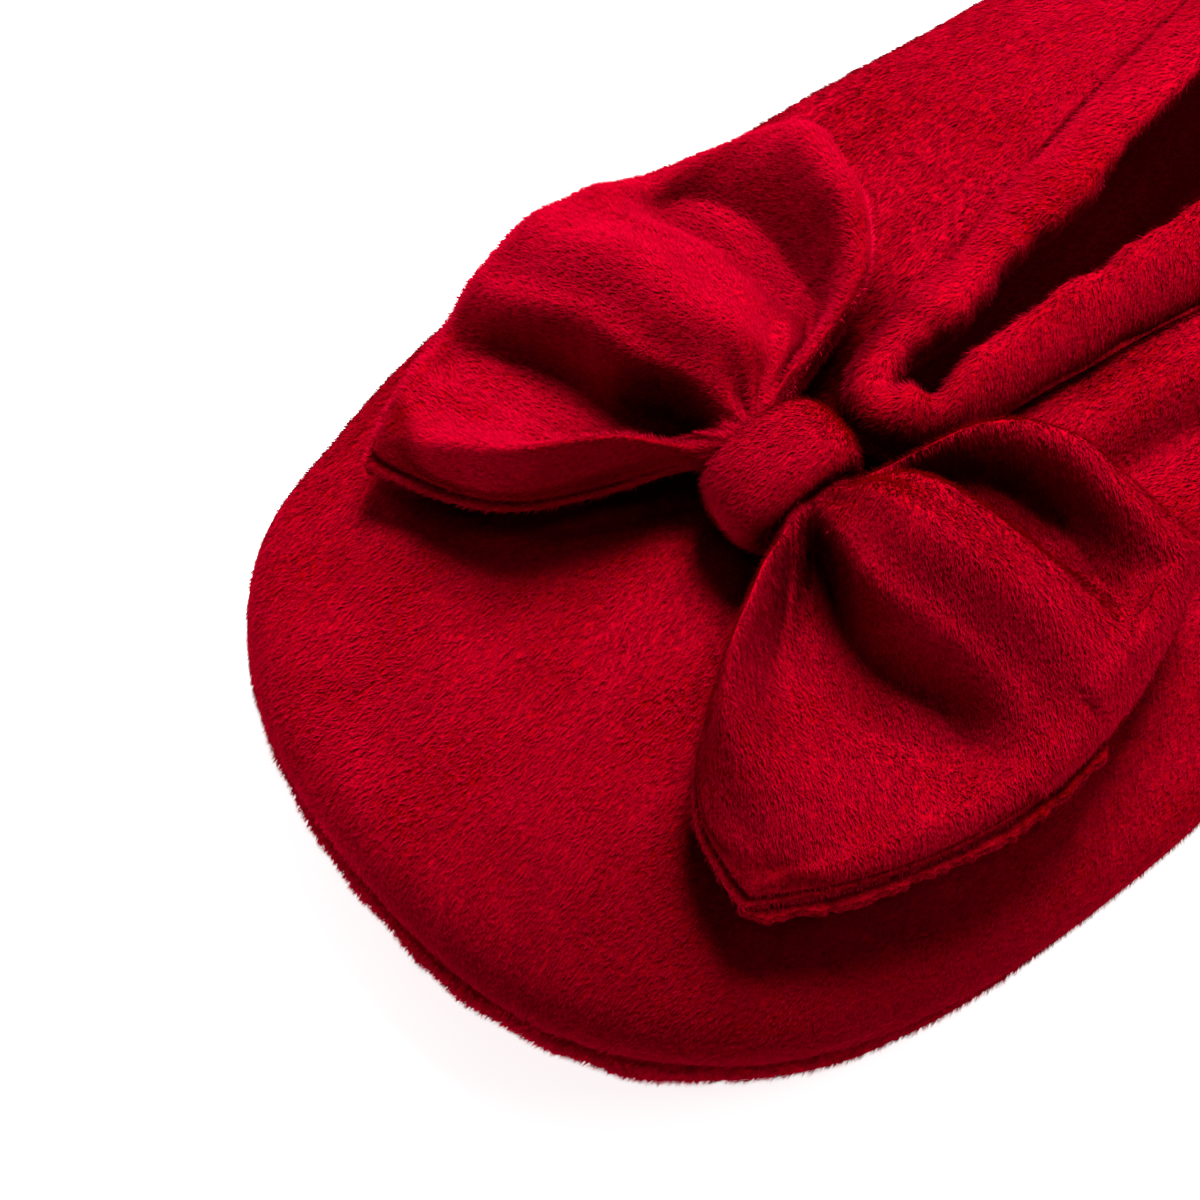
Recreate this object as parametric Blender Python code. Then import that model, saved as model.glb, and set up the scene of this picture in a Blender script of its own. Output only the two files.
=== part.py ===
"""Ballerina slipper in short-pile velour, with a pinched bow on its vamp.

Metres, +Z up, Z = 0 on the floor. The toe points to -Y, the wearer's heel to +Y. The two
sides mirror each other across X = 0, so it fits either foot; only the soft collar has
slumped inward on its +X side, as it lies.
Positions along the slipper are shares of SOLE_LENGTH, counted from the toe.
"""

import math

import bpy
from mathutils import Vector
from mathutils.bvhtree import BVHTree

# Sole outline
SOLE_LENGTH = 0.250
BALL_WIDTH = 0.098
WAIST_WIDTH = 0.077
HEEL_WIDTH = 0.070
TOE_ROUND_SHARE = 0.23
HEEL_ROUND_SHARE = 0.16
TOE_POWER, HEEL_POWER = 2.5, 2.15

# Sole layers, from the floor up
OUTSOLE_THICKNESS = 0.0025
WRAP_THICKNESS = 0.0050
INSOLE_THICKNESS = 0.0040
OUTSOLE_INSET = 0.0030
RIM_PROUD = 0.0020
TOE_SPRING = 0.0040
ARCH_RISE = 0.0020
SPRING_SHARE = 0.17
ARCH_FROM_SHARE, ARCH_TO_SHARE = 0.42, 0.74

# Upper
WALL = 0.0028
FOOT_BULGE = 0.0090
COLLAR_FROM_SHARE, COLLAR_TO_SHARE = 0.278, 0.945
THROAT_WIDTH = 0.012
COLLAR_WIDTH = 0.054
THROAT_ROUND_SHARE = 0.05
BACK_ROUND_SHARE = 0.30
THROAT_HEIGHT = 0.0345
QUARTER_HEIGHT = 0.0320
BACK_HEIGHT = 0.0470
COLLAR_SLUMP = 0.0085

# Elastic casing on the collar
CASING_WIDTH = 0.0125
CASING_THICKNESS = 0.0050

# Bow
BOW_SHARE = 0.228
BOW_TILT = math.radians(6)
BOW_SPAN = 0.085
BOW_LENGTH = 0.0625
BOW_THICKNESS = 0.0060
BOW_RIDGE = 0.0110
BOW_DROP = 0.0070
KNOT_WIDTH = 0.0110
KNOT_LENGTH = 0.0175
KNOT_HEIGHT = 0.0130
KNOT_BAND = 0.0022

# Touching pieces stay this far apart
GAP = 0.0003

# Height of the upper's foot and of the insole's underside over the sole's own curve
SEAT = OUTSOLE_THICKNESS + GAP + WRAP_THICKNESS + GAP

# Mesh steps
RING_STEPS = 96
UPPER_STEPS = 11

VELOUR_RED = (0.52, 0.004, 0.022)
LINING_RED = (0.30, 0.004, 0.014)
GRIP_RED = (0.20, 0.006, 0.016)

# Width of the sole along its length, as a mix of the three named widths.
SOLE_WIDTHS = (
    {"along": 0.00, "ball": 1.00, "waist": 0.00, "heel": 0.00},
    {"along": 0.23, "ball": 1.00, "waist": 0.00, "heel": 0.00},
    {"along": 0.40, "ball": 0.55, "waist": 0.45, "heel": 0.00},
    {"along": 0.58, "ball": 0.00, "waist": 1.00, "heel": 0.00},
    {"along": 0.76, "ball": 0.00, "waist": 0.20, "heel": 0.80},
    {"along": 0.84, "ball": 0.00, "waist": 0.00, "heel": 1.00},
    {"along": 1.00, "ball": 0.00, "waist": 0.00, "heel": 1.00},
)

# Width of the collar along the opening: from the throat's (0) to the collar's (1).
COLLAR_WIDTHS = (
    {"along": 0.00, "spread": 0.00},
    {"along": 0.08, "spread": 0.13},
    {"along": 0.17, "spread": 0.34},
    {"along": 0.32, "spread": 0.67},
    {"along": 0.55, "spread": 0.94},
    {"along": 0.75, "spread": 1.00},
    {"along": 1.00, "spread": 1.00},
)

# Height of the collar seam along the opening, as a mix of the three named heights.
COLLAR_HEIGHTS = (
    {"along": 0.00, "throat": 1.00, "back": 0.00},
    {"along": 0.22, "throat": 0.70, "back": 0.00},
    {"along": 0.50, "throat": 0.00, "back": 0.05},
    {"along": 0.80, "throat": 0.00, "back": 0.55},
    {"along": 1.00, "throat": 0.00, "back": 1.00},
)

# How far the +X side of the collar has slumped inward, of COLLAR_SLUMP, along the half
# collar line's length.
SLUMP_PLACES = (
    {"collar": 0.00, "inward": 0.00},
    {"collar": 0.05, "inward": 0.02},
    {"collar": 0.12, "inward": 0.38},
    {"collar": 0.24, "inward": 0.86},
    {"collar": 0.38, "inward": 1.00},
    {"collar": 0.62, "inward": 0.50},
    {"collar": 0.85, "inward": 0.04},
    {"collar": 1.00, "inward": 0.00},
)

# The upper's sections, from the toe round to the back. ring: share of the half outline.
# bulge: outward handle at the foot, of FOOT_BULGE. rise: its height, of the section's.
# reach: inward handle at the collar, of the section's run. fall: its drop, of the height.
UPPER_SECTIONS = (
    {"ring": 0.00, "bulge": 0.20, "rise": 0.64, "reach": 0.46, "fall": 0.20},
    {"ring": 0.12, "bulge": 0.30, "rise": 0.62, "reach": 0.46, "fall": 0.20},
    {"ring": 0.24, "bulge": 0.70, "rise": 0.60, "reach": 0.48, "fall": 0.18},
    {"ring": 0.36, "bulge": 1.00, "rise": 0.60, "reach": 0.50, "fall": 0.12},
    {"ring": 0.50, "bulge": 1.00, "rise": 0.66, "reach": 0.50, "fall": 0.08},
    {"ring": 0.66, "bulge": 0.90, "rise": 0.60, "reach": 0.45, "fall": 0.22},
    {"ring": 0.82, "bulge": 0.70, "rise": 0.50, "reach": 0.40, "fall": 0.38},
    {"ring": 1.00, "bulge": 0.40, "rise": 0.45, "reach": 0.30, "fall": 0.42},
)

# Where each section lands on the collar: share of the half collar line's length.
COLLAR_FAN = (
    {"ring": 0.00, "collar": 0.00},
    {"ring": 0.18, "collar": 0.03},
    {"ring": 0.32, "collar": 0.10},
    {"ring": 0.44, "collar": 0.26},
    {"ring": 0.70, "collar": 0.60},
    {"ring": 0.88, "collar": 0.87},
    {"ring": 1.00, "collar": 1.00},
)

# The casing is bunched at the throat: width and uprightness along the half collar line.
CASING_SECTIONS = (
    {"collar": 0.00, "width": 0.50, "upright": 0.75},
    {"collar": 0.08, "width": 0.62, "upright": 0.60},
    {"collar": 0.26, "width": 0.88, "upright": 0.40},
    {"collar": 0.50, "width": 1.00, "upright": 0.35},
    {"collar": 0.80, "width": 0.95, "upright": 0.35},
    {"collar": 1.00, "width": 0.85, "upright": 0.45},
)

# One wing of the bow, from the middle of the knot out. front and rear: how far it reaches
# from the middle line, of half BOW_LENGTH. drop: of BOW_DROP. body: of BOW_THICKNESS.
BOW_OUTLINE = (
    {"out": 0.00, "front": 0.18, "rear": 0.18, "drop": 0.00, "body": 1.00},
    {"out": 0.14, "front": 0.19, "rear": 0.19, "drop": 0.00, "body": 1.00},
    {"out": 0.25, "front": 0.40, "rear": 0.56, "drop": 0.00, "body": 0.75},
    {"out": 0.42, "front": 0.76, "rear": 0.76, "drop": 0.15, "body": 0.75},
    {"out": 0.62, "front": 0.95, "rear": 0.86, "drop": 0.45, "body": 0.85},
    {"out": 0.82, "front": 1.01, "rear": 0.95, "drop": 0.80, "body": 1.00},
    {"out": 1.00, "front": 1.03, "rear": 1.00, "drop": 1.00, "body": 0.95},
)

# Heights of the cloth's middle across a wing, of BOW_RIDGE, at the places in FOLD_PLACES.
BOW_FOLDS = (
    {"out": 0.00, "lip": 0.00, "sink": 0.00, "ridge": 0.04, "dip": 0.00, "rim": 0.00},
    {"out": 0.14, "lip": 0.00, "sink": 0.00, "ridge": 0.06, "dip": 0.00, "rim": 0.00},
    {"out": 0.25, "lip": -0.10, "sink": -0.38, "ridge": 0.40, "dip": -0.12, "rim": 0.02},
    {"out": 0.42, "lip": -0.12, "sink": -0.42, "ridge": 0.44, "dip": -0.24, "rim": 0.02},
    {"out": 0.62, "lip": -0.08, "sink": -0.28, "ridge": 0.32, "dip": -0.22, "rim": 0.02},
    {"out": 0.82, "lip": -0.02, "sink": -0.08, "ridge": 0.14, "dip": -0.08, "rim": 0.00},
    {"out": 1.00, "lip": 0.00, "sink": 0.00, "ridge": 0.03, "dip": 0.00, "rim": 0.00},
)

# Where those folds run, from the wing's front edge (-1) to its rear edge (1).
FOLD_PLACES = {"lip": -1.0, "sink": -0.40, "ridge": 0.26, "dip": 0.68, "rim": 1.0}

# How far a wing's corners draw in, as a share of its reach
BOW_CORNER_SHARE = 0.20


def smooth_between(rows, key, at, flat_ends=True):
    """The table's columns at one value of its key column, on cubic curves through the rows."""
    names = [name for name in rows[0] if name != key]
    keys = [row[key] for row in rows]
    at = min(max(at, keys[0]), keys[-1])
    low = max(i for i in range(len(keys) - 1) if keys[i] <= at)
    span = keys[low + 1] - keys[low]
    part = (at - keys[low]) / span

    def slope(name, index):
        before, after = max(index - 1, 0), min(index + 1, len(keys) - 1)
        if after - before < 2 and flat_ends:
            return 0.0
        return (rows[after][name] - rows[before][name]) / (keys[after] - keys[before])

    found = {}
    for name in names:
        start, end = rows[low][name], rows[low + 1][name]
        leave, arrive = slope(name, low) * span, slope(name, low + 1) * span
        found[name] = (
            start * (1 + 2 * part) * (1 - part) ** 2
            + leave * part * (1 - part) ** 2
            + end * part**2 * (3 - 2 * part)
            + arrive * part**2 * (part - 1)
        )
    return found


def closing(distance, rounding, power):
    """Share of a loop's width left at a distance from one of its ends, both as shares."""
    return (1 - max(0.0, 1 - distance / rounding) ** power) ** (1 / power)


def sole_half_width(share):
    """Half width of the upper's foot line, the edge where it meets the sole."""
    mix = smooth_between(SOLE_WIDTHS, "along", share)
    width = mix["ball"] * BALL_WIDTH + mix["waist"] * WAIST_WIDTH + mix["heel"] * HEEL_WIDTH
    toe = closing(share, TOE_ROUND_SHARE, TOE_POWER)
    return (width / 2 - RIM_PROUD) * toe * closing(1 - share, HEEL_ROUND_SHARE, HEEL_POWER)


def collar_half_width(share):
    """Half width of the collar seam, at a share of the collar's own length."""
    spread = smooth_between(COLLAR_WIDTHS, "along", share, flat_ends=False)["spread"]
    width = THROAT_WIDTH + spread * (COLLAR_WIDTH - THROAT_WIDTH)
    return width / 2 * closing(share, THROAT_ROUND_SHARE, 2.0) * closing(1 - share, BACK_ROUND_SHARE, 2.3)


def half_line(half_width, steps=900):
    """(x, share) points of half a loop, packed closer at both ends."""
    shares = [(1 - math.cos(math.pi * i / steps)) / 2 for i in range(steps + 1)]
    return [(half_width(share), share) for share in shares]


def evenly(points, parts):
    """Points at those parts of a line's length, each part from 0 to 1."""
    lengths = [0.0]
    for a, b in zip(points, points[1:]):
        lengths.append(lengths[-1] + math.dist(a, b))
    found, low = [], 0
    for part in parts:
        want = min(part, 1.0) * lengths[-1]
        while low < len(points) - 2 and lengths[low + 1] < want:
            low += 1
        t = (want - lengths[low]) / max(lengths[low + 1] - lengths[low], 1e-12)
        a, b = points[low], points[low + 1]
        found.append(tuple(p + (q - p) * t for p, q in zip(a, b)))
    return found


def lift(y):
    """Height of the sole's underside over the floor: toe spring, level, arch, level."""
    share = y / SOLE_LENGTH + 0.5
    if share < SPRING_SHARE:
        return TOE_SPRING * (1 - share / SPRING_SHARE) ** 2
    across = (share - ARCH_FROM_SHARE) / (ARCH_TO_SHARE - ARCH_FROM_SHARE)
    return ARCH_RISE * math.sin(math.pi * across) ** 2 if 0 < across < 1 else 0.0


def foot_line():
    """The half outline as (x, y) points in metres, from the toe to the back of the heel."""
    inner = SOLE_LENGTH - 2 * RIM_PROUD
    return [(x, (share - 0.5) * inner) for x, share in half_line(sole_half_width)]


def collar_line():
    """The half collar seam as (x, y, z) points, from the throat to the back."""
    points = []
    for x, along in half_line(collar_half_width):
        share = COLLAR_FROM_SHARE + (COLLAR_TO_SHARE - COLLAR_FROM_SHARE) * along
        mix = smooth_between(COLLAR_HEIGHTS, "along", along)
        height = (
            QUARTER_HEIGHT
            + mix["throat"] * (THROAT_HEIGHT - QUARTER_HEIGHT)
            + mix["back"] * (BACK_HEIGHT - QUARTER_HEIGHT)
        )
        points.append((x, (share - 0.5) * SOLE_LENGTH, height))
    return points


def ring_shares():
    """(share of the half line, side) round the whole loop, once, starting at the toe."""
    half = RING_STEPS // 2
    return [
        (i / half, 1) if i <= half else ((RING_STEPS - i) / half, -1)
        for i in range(RING_STEPS)
    ]


def mirrored(points, side):
    return [(side * p[0], *p[1:]) for p in points]


def whole_ring(line, parts_of=lambda share: share):
    """Vectors of a half line's points round the whole loop."""
    half = RING_STEPS // 2
    parts = [parts_of(i / half) for i in range(half + 1)]
    right = evenly(line, parts)
    left = mirrored(right, -1)
    return [Vector(p) for p in right + left[-2:0:-1]]


def collar_part(share):
    return smooth_between(COLLAR_FAN, "ring", share, flat_ends=False)["collar"]


def foot_ring():
    """The upper's lower edge, on the rim of the wrapped sole."""
    return [Vector((p.x, p.y, SEAT + lift(p.y))) for p in whole_ring(foot_line())]


def collar_ring():
    """The collar seam round the whole loop, slumped on its +X side."""
    ring = whole_ring(collar_line(), collar_part)
    for (share, side), point in zip(ring_shares(), ring):
        if side > 0:
            slump = smooth_between(SLUMP_PLACES, "collar", collar_part(share))
            point.x -= slump["inward"] * COLLAR_SLUMP
    return ring


def section_handles(share, foot, collar):
    """The four Bezier points of one section of the upper, foot to collar."""
    row = smooth_between(UPPER_SECTIONS, "ring", share)
    height = collar.z - foot.z
    run = Vector((foot.x - collar.x, foot.y - collar.y, 0))
    outward = run.normalized()
    low = foot + outward * (row["bulge"] * FOOT_BULGE) + Vector((0, 0, row["rise"] * height))
    high = collar + run * row["reach"] - Vector((0, 0, row["fall"] * height))
    return foot, low, high, collar


def bezier(points, t):
    a, b, c, d = points
    return a * (1 - t) ** 3 + b * (3 * t * (1 - t) ** 2) + c * (3 * t * t * (1 - t)) + d * t**3


def upper_grid():
    """Rows of points on the upper's outer face, from the foot ring up to the collar ring."""
    sections = [
        section_handles(share, foot, collar)
        for (share, _), foot, collar in zip(ring_shares(), foot_ring(), collar_ring())
    ]
    return [[bezier(s, i / UPPER_STEPS) for s in sections] for i in range(UPPER_STEPS + 1)]


def grid_normals(rows):
    """Outward unit normals of a grid of rings."""
    count, last = len(rows[0]), len(rows) - 1
    found = []
    for i, row in enumerate(rows):
        below, above = rows[max(i - 1, 0)], rows[min(i + 1, last)]
        normals = []
        for j in range(count):
            along = row[(j + 1) % count] - row[j - 1]
            up = above[j] - below[j]
            normals.append(along.cross(up).normalized())
        found.append(normals)
    return found


def shell_faces(rings, count):
    """Quads of a closed tube of rings, each ring joined to the next and the last to the first."""
    faces = []
    for i in range(rings):
        low, high = i * count, (i + 1) % rings * count
        for j in range(count):
            k = (j + 1) % count
            faces.append((low + j, low + k, high + k, high + j))
    return faces


def upper_solid():
    """The hollow upper: its outer face, then its inner face one wall further in."""
    outer = upper_grid()
    normals = grid_normals(outer)
    for n in normals[0]:
        n.z = 0.0
        n.normalize()
    inner = [
        [p - n * WALL for p, n in zip(row, row_normals)]
        for row, row_normals in zip(outer, normals)
    ]
    rings = outer + inner[::-1]
    points = [p for row in rings for p in row]
    return points, shell_faces(len(rings), len(outer[0]))


def casing_solid(sides=10):
    """The elastic casing: a flattened tube that carries the upper's face on past its edge."""
    outer = upper_grid()
    normals = grid_normals(outer)[-1]
    points = []
    for j, ((share, _), edge, normal) in enumerate(zip(ring_shares(), outer[-1], normals)):
        row = smooth_between(CASING_SECTIONS, "collar", collar_part(share))
        along = (edge - outer[-2][j]).normalized()
        onward = (along * (1 - row["upright"]) + Vector((0, 0, row["upright"]))).normalized()
        across = (normal - onward * normal.dot(onward)).normalized()
        half = row["width"] * CASING_WIDTH / 2
        turned = onward.dot(along)
        reach = math.hypot(half * turned, CASING_THICKNESS / 2 * math.sqrt(1 - turned**2))
        centre = edge - normal * (WALL / 2) + onward * ((reach + GAP) / turned)
        for k in range(sides):
            angle = 2 * math.pi * k / sides
            out, up = math.cos(angle), math.sin(angle)
            points.append(centre + across * (out * CASING_THICKNESS / 2) + onward * (up * half))
    faces = []
    for j in range(RING_STEPS):
        here, there = j * sides, (j + 1) % RING_STEPS * sides
        for k in range(sides):
            m = (k + 1) % sides
            faces.append((here + k, there + k, there + m, here + m))
    return points, faces


def ladder_faces(first, count, upward):
    """Quads across a symmetrical ring of points, toe to heel, as the ring's cap."""
    half = count // 2
    faces = [(first, first + 1, first + count - 1)]
    for i in range(1, half - 1):
        faces.append((first + i, first + i + 1, first + count - i - 1, first + count - i))
    faces.append((first + half - 1, first + half, first + half + 1))
    return faces if upward else [face[::-1] for face in faces]


def layer_solid(profile):
    """A sole layer: rings of the outline, each at (inset, height), closed at both ends."""
    outline = whole_ring(foot_line())
    count = len(outline)
    points = []
    for inset, height in profile:
        for j, p in enumerate(outline):
            along = outline[(j + 1) % count] - outline[j - 1]
            outward = Vector((along.y, -along.x, 0)).normalized()
            spot = Vector((p.x, p.y, 0)) - outward * inset
            points.append(spot + Vector((0, 0, height + lift(p.y))))
    faces = shell_faces(len(profile), count)[: (len(profile) - 1) * count]
    faces += ladder_faces(0, count, upward=False)
    faces += ladder_faces((len(profile) - 1) * count, count, upward=True)
    return points, faces


def outsole_profile():
    edge = OUTSOLE_INSET - RIM_PROUD
    chamfer = OUTSOLE_THICKNESS / 3
    return [(edge + chamfer, 0.0), (edge, chamfer), (edge, OUTSOLE_THICKNESS)]


def wrap_profile(steps=6):
    """The wrapped sole's edge is half round and stands proud of the upper's foot."""
    base = OUTSOLE_THICKNESS + GAP
    radius = WRAP_THICKNESS / 2
    profile = []
    for i in range(steps + 1):
        angle = math.pi * (i / steps - 0.5)
        inset = -RIM_PROUD + radius * (1 - math.cos(angle))
        profile.append((inset, base + radius * (1 + math.sin(angle))))
    return profile


def insole_profile():
    edge = WALL + 2 * GAP
    round_off = INSOLE_THICKNESS / 3
    top = SEAT + INSOLE_THICKNESS
    return [(edge, SEAT), (edge, top - round_off), (edge + round_off, top)]


def solid(name, points, faces, material):
    mesh = bpy.data.meshes.new(name)
    mesh.from_pydata([tuple(p) for p in points], [], faces)
    mesh.validate()
    mesh.materials.append(material)
    mesh.shade_smooth()
    mesh.set_sharp_from_angle(angle=math.radians(50))
    found = bpy.data.objects.new(name, mesh)
    bpy.context.scene.collection.objects.link(found)
    return found


def finish(name, colour, roughness):
    """A Principled material of one colour."""
    material = bpy.data.materials.new(name)
    material.use_nodes = True
    shader = material.node_tree.nodes["Principled BSDF"]
    shader.inputs["Base Color"].default_value = (*colour, 1.0)
    shader.inputs["Roughness"].default_value = roughness
    shader.inputs["Metallic"].default_value = 0.0
    return material


class Support:
    """What the bow lies on, seen along the bow's own upward direction."""

    def __init__(self, objects, up):
        self.trees = [
            BVHTree.FromPolygons(
                [v.co for v in o.data.vertices], [p.vertices for p in o.data.polygons]
            )
            for o in objects
        ]
        self.up = up

    def top(self, point):
        """How far below the point, along the upward direction, the first surface lies."""
        start = point + self.up
        hits = [tree.ray_cast(start, -self.up)[3] for tree in self.trees]
        return min((h for h in hits if h is not None), default=10.0) - 1.0


def bow_frame(support_object):
    """The bow's seat on the vamp's middle line, its forward and its upward direction."""
    forward = Vector((0, -math.cos(BOW_TILT), -math.sin(BOW_TILT)))
    up = Vector((0, -math.sin(BOW_TILT), math.cos(BOW_TILT)))
    support = Support([support_object], up)
    over = Vector((0, (BOW_SHARE - 0.5) * SOLE_LENGTH, THROAT_HEIGHT))
    return over - up * support.top(over), forward, up


def fold_height(across, row):
    """Height of the cloth's middle across a wing, on half waves between the folds."""
    places = list(FOLD_PLACES.items())
    for (name, place), (after, next_place) in zip(places, places[1:]):
        if across <= next_place:
            turn = (1 - math.cos(math.pi * (across - place) / (next_place - place))) / 2
            return row[name] + (row[after] - row[name]) * turn
    return row["rim"]


def rim_share(distance, radius):
    """Thickness near an edge, as a share: a quarter round of that radius."""
    short = max(0.0, 1 - distance / radius)
    return math.sqrt(max(0.0, 1 - short * short))


def wing_solid(support, seat, forward, up, steps=40, across_steps=16):
    """Both wings and the pinched cloth between them, as one closed pillow."""
    centre = KNOT_HEIGHT / 2 + GAP
    top, bottom = {}, {}
    points = []
    for i in range(steps + 1):
        out = 2 * i / steps - 1
        row = smooth_between(BOW_OUTLINE, "out", abs(out))
        folds = smooth_between(BOW_FOLDS, "out", abs(out))
        body = row["body"] * BOW_THICKNESS / 2
        for j in range(across_steps + 1):
            across = math.sin(math.pi / 2 * (2 * j / across_steps - 1))
            half = BOW_LENGTH / 2 * (row["front"] if across < 0 else row["rear"])
            x = out * BOW_SPAN / 2 * (1 - BOW_CORNER_SHARE * across * across * abs(out))
            level = centre + fold_height(across, folds) * BOW_RIDGE - row["drop"] * BOW_DROP
            edge = min((1 - abs(across)) * half, (1 - abs(out)) * BOW_SPAN / 2)
            depth = body * rim_share(edge, body)
            spot = seat + Vector((x, 0, 0)) + forward * (-across * half)
            floor = -support.top(spot) + GAP
            level = max(level, floor + depth)
            on_edge = i in (0, steps) or j in (0, across_steps)
            top[i, j] = len(points)
            points.append(spot + up * (level + depth))
            bottom[i, j] = top[i, j]
            if not on_edge:
                bottom[i, j] = len(points)
                points.append(spot + up * (level - depth))
    faces = []
    for i in range(steps):
        for j in range(across_steps):
            corners = ((i, j), (i + 1, j), (i + 1, j + 1), (i, j + 1))
            faces.append([top[c] for c in corners])
            faces.append([bottom[c] for c in reversed(corners)])
    return points, faces


def knot_solid(seat, forward, up, around=24, sides=8):
    """The band round the bow's waist: a flat ring, its outer face crowned."""
    centre = seat + up * (KNOT_HEIGHT / 2 + GAP)
    points = []
    for i in range(around):
        angle = 2 * math.pi * i / around
        ahead, above = math.cos(angle), math.sin(angle)
        for k in range(sides):
            turn = 2 * math.pi * k / sides
            sideways = math.cos(turn) * KNOT_WIDTH / 2
            outward = (math.sin(turn) - 1) * KNOT_BAND / 2
            spot = forward * (ahead * (KNOT_LENGTH / 2 + outward))
            spot += up * (above * (KNOT_HEIGHT / 2 + outward))
            points.append(centre + spot + Vector((sideways, 0, 0)))
    faces = []
    for i in range(around):
        here, there = i * sides, (i + 1) % around * sides
        for k in range(sides):
            m = (k + 1) % sides
            faces.append((here + k, there + k, there + m, here + m))
    return points, faces


def build():
    for found in list(bpy.data.objects):
        bpy.data.objects.remove(found)
    velour = finish("velour", VELOUR_RED, 0.85)
    lining = finish("lining", LINING_RED, 0.9)
    grip = finish("grip", GRIP_RED, 0.7)

    solid("outsole", *layer_solid(outsole_profile()), grip)
    solid("sole_wrap", *layer_solid(wrap_profile()), velour)
    solid("insole", *layer_solid(insole_profile()), lining)
    upper = solid("upper", *upper_solid(), velour)
    casing = solid("collar_casing", *casing_solid(), velour)

    seat, forward, up = bow_frame(upper)
    support = Support([upper, casing], up)
    solid("bow_wings", *wing_solid(support, seat, forward, up), velour)
    solid("bow_knot", *knot_solid(seat, forward, up), velour)


build()
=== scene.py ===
"""The looks of the ballerina slipper: velour skins with their pile, seams and gathers.

Metres, +Z up, toe to -Y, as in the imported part. The first half repeats the part's own sizes
and curves in finer steps, so that every skin lies where its solid is. Heights of folds and
other relief in the tables are in millimetres.
"""

import math

import bpy
import numpy as np
from mathutils import Matrix, Vector, noise
from mathutils.bvhtree import BVHTree


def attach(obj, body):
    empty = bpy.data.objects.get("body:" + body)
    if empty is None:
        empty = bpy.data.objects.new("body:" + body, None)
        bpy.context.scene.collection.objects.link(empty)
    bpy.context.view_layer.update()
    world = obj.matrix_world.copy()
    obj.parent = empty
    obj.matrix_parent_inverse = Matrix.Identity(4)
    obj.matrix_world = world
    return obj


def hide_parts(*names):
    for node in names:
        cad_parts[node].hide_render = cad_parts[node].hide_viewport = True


MM = 0.001


def table(columns, *rows):
    """Rows of values by the names of their columns."""
    return [dict(zip(columns.split(), row)) for row in rows]


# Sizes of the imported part
SOLE_LENGTH = 0.250
BALL_WIDTH, WAIST_WIDTH, HEEL_WIDTH = 0.098, 0.077, 0.070
TOE_ROUND_SHARE, HEEL_ROUND_SHARE = 0.23, 0.16
TOE_POWER, HEEL_POWER = 2.5, 2.15
OUTSOLE_THICKNESS = 0.0025
WRAP_THICKNESS = 0.0050
INSOLE_THICKNESS = 0.0040
OUTSOLE_INSET = 0.0030
RIM_PROUD = 0.0020
TOE_SPRING, ARCH_RISE = 0.0040, 0.0020
SPRING_SHARE = 0.17
ARCH_FROM_SHARE, ARCH_TO_SHARE = 0.42, 0.74
WALL = 0.0028
FOOT_BULGE = 0.0090
COLLAR_TO_SHARE = 0.945
THROAT_WIDTH, COLLAR_WIDTH = 0.012, 0.054
THROAT_ROUND_SHARE, BACK_ROUND_SHARE = 0.05, 0.30
THROAT_POWER, BACK_POWER = 2.0, 2.3
THROAT_HEIGHT, QUARTER_HEIGHT, BACK_HEIGHT = 0.0345, 0.0320, 0.0470
COLLAR_SLUMP = 0.0085
CASING_WIDTH, CASING_THICKNESS = 0.0125, 0.0050
BOW_SHARE = 0.228
BOW_TILT = math.radians(6)
BOW_SPAN, BOW_LENGTH = 0.085, 0.0625
BOW_THICKNESS = 0.0060
BOW_RIDGE = 0.0110
BOW_DROP = 0.0070
KNOT_WIDTH, KNOT_HEIGHT = 0.0110, 0.0130
KNOT_BAND = 0.0022
GAP = 0.0003
SEAT = OUTSOLE_THICKNESS + GAP + WRAP_THICKNESS + GAP

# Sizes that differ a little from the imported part's, to meet the photograph
RIM_SHOWN = 0.0008
COLLAR_FROM_SHARE = 0.268
KNOT_LENGTH = 0.0160
KNOT_SLIM = 0.90
BOW_CORNER_SHARE = 0.245

SOLE_WIDTHS = table(
    "along ball waist heel",
    (0.00, 1.00, 0.00, 0.00),
    (0.23, 1.00, 0.00, 0.00),
    (0.40, 0.55, 0.45, 0.00),
    (0.58, 0.00, 1.00, 0.00),
    (0.76, 0.00, 0.20, 0.80),
    (0.84, 0.00, 0.00, 1.00),
    (1.00, 0.00, 0.00, 1.00),
)
COLLAR_WIDTHS = table(
    "along spread",
    (0.00, 0.00),
    (0.08, 0.13),
    (0.17, 0.34),
    (0.32, 0.67),
    (0.55, 0.94),
    (0.75, 1.00),
    (1.00, 1.00),
)
COLLAR_HEIGHTS = table(
    "along throat back",
    (0.00, 1.00, 0.00),
    (0.22, 0.70, 0.00),
    (0.50, 0.00, 0.05),
    (0.80, 0.00, 0.55),
    (1.00, 0.00, 1.00),
)
SLUMP_PLACES = table(
    "collar inward",
    (0.00, 0.00),
    (0.05, 0.02),
    (0.12, 0.38),
    (0.24, 0.86),
    (0.38, 1.00),
    (0.62, 0.50),
    (0.85, 0.04),
    (1.00, 0.00),
)
UPPER_SECTIONS = table(
    "ring bulge rise reach fall",
    (0.00, 0.20, 0.64, 0.46, 0.20),
    (0.12, 0.30, 0.62, 0.46, 0.20),
    (0.24, 0.70, 0.60, 0.48, 0.18),
    (0.36, 1.00, 0.60, 0.50, 0.12),
    (0.50, 1.00, 0.66, 0.50, 0.08),
    (0.66, 0.90, 0.60, 0.45, 0.22),
    (0.82, 0.70, 0.50, 0.40, 0.38),
    (1.00, 0.40, 0.45, 0.30, 0.42),
)
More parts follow.
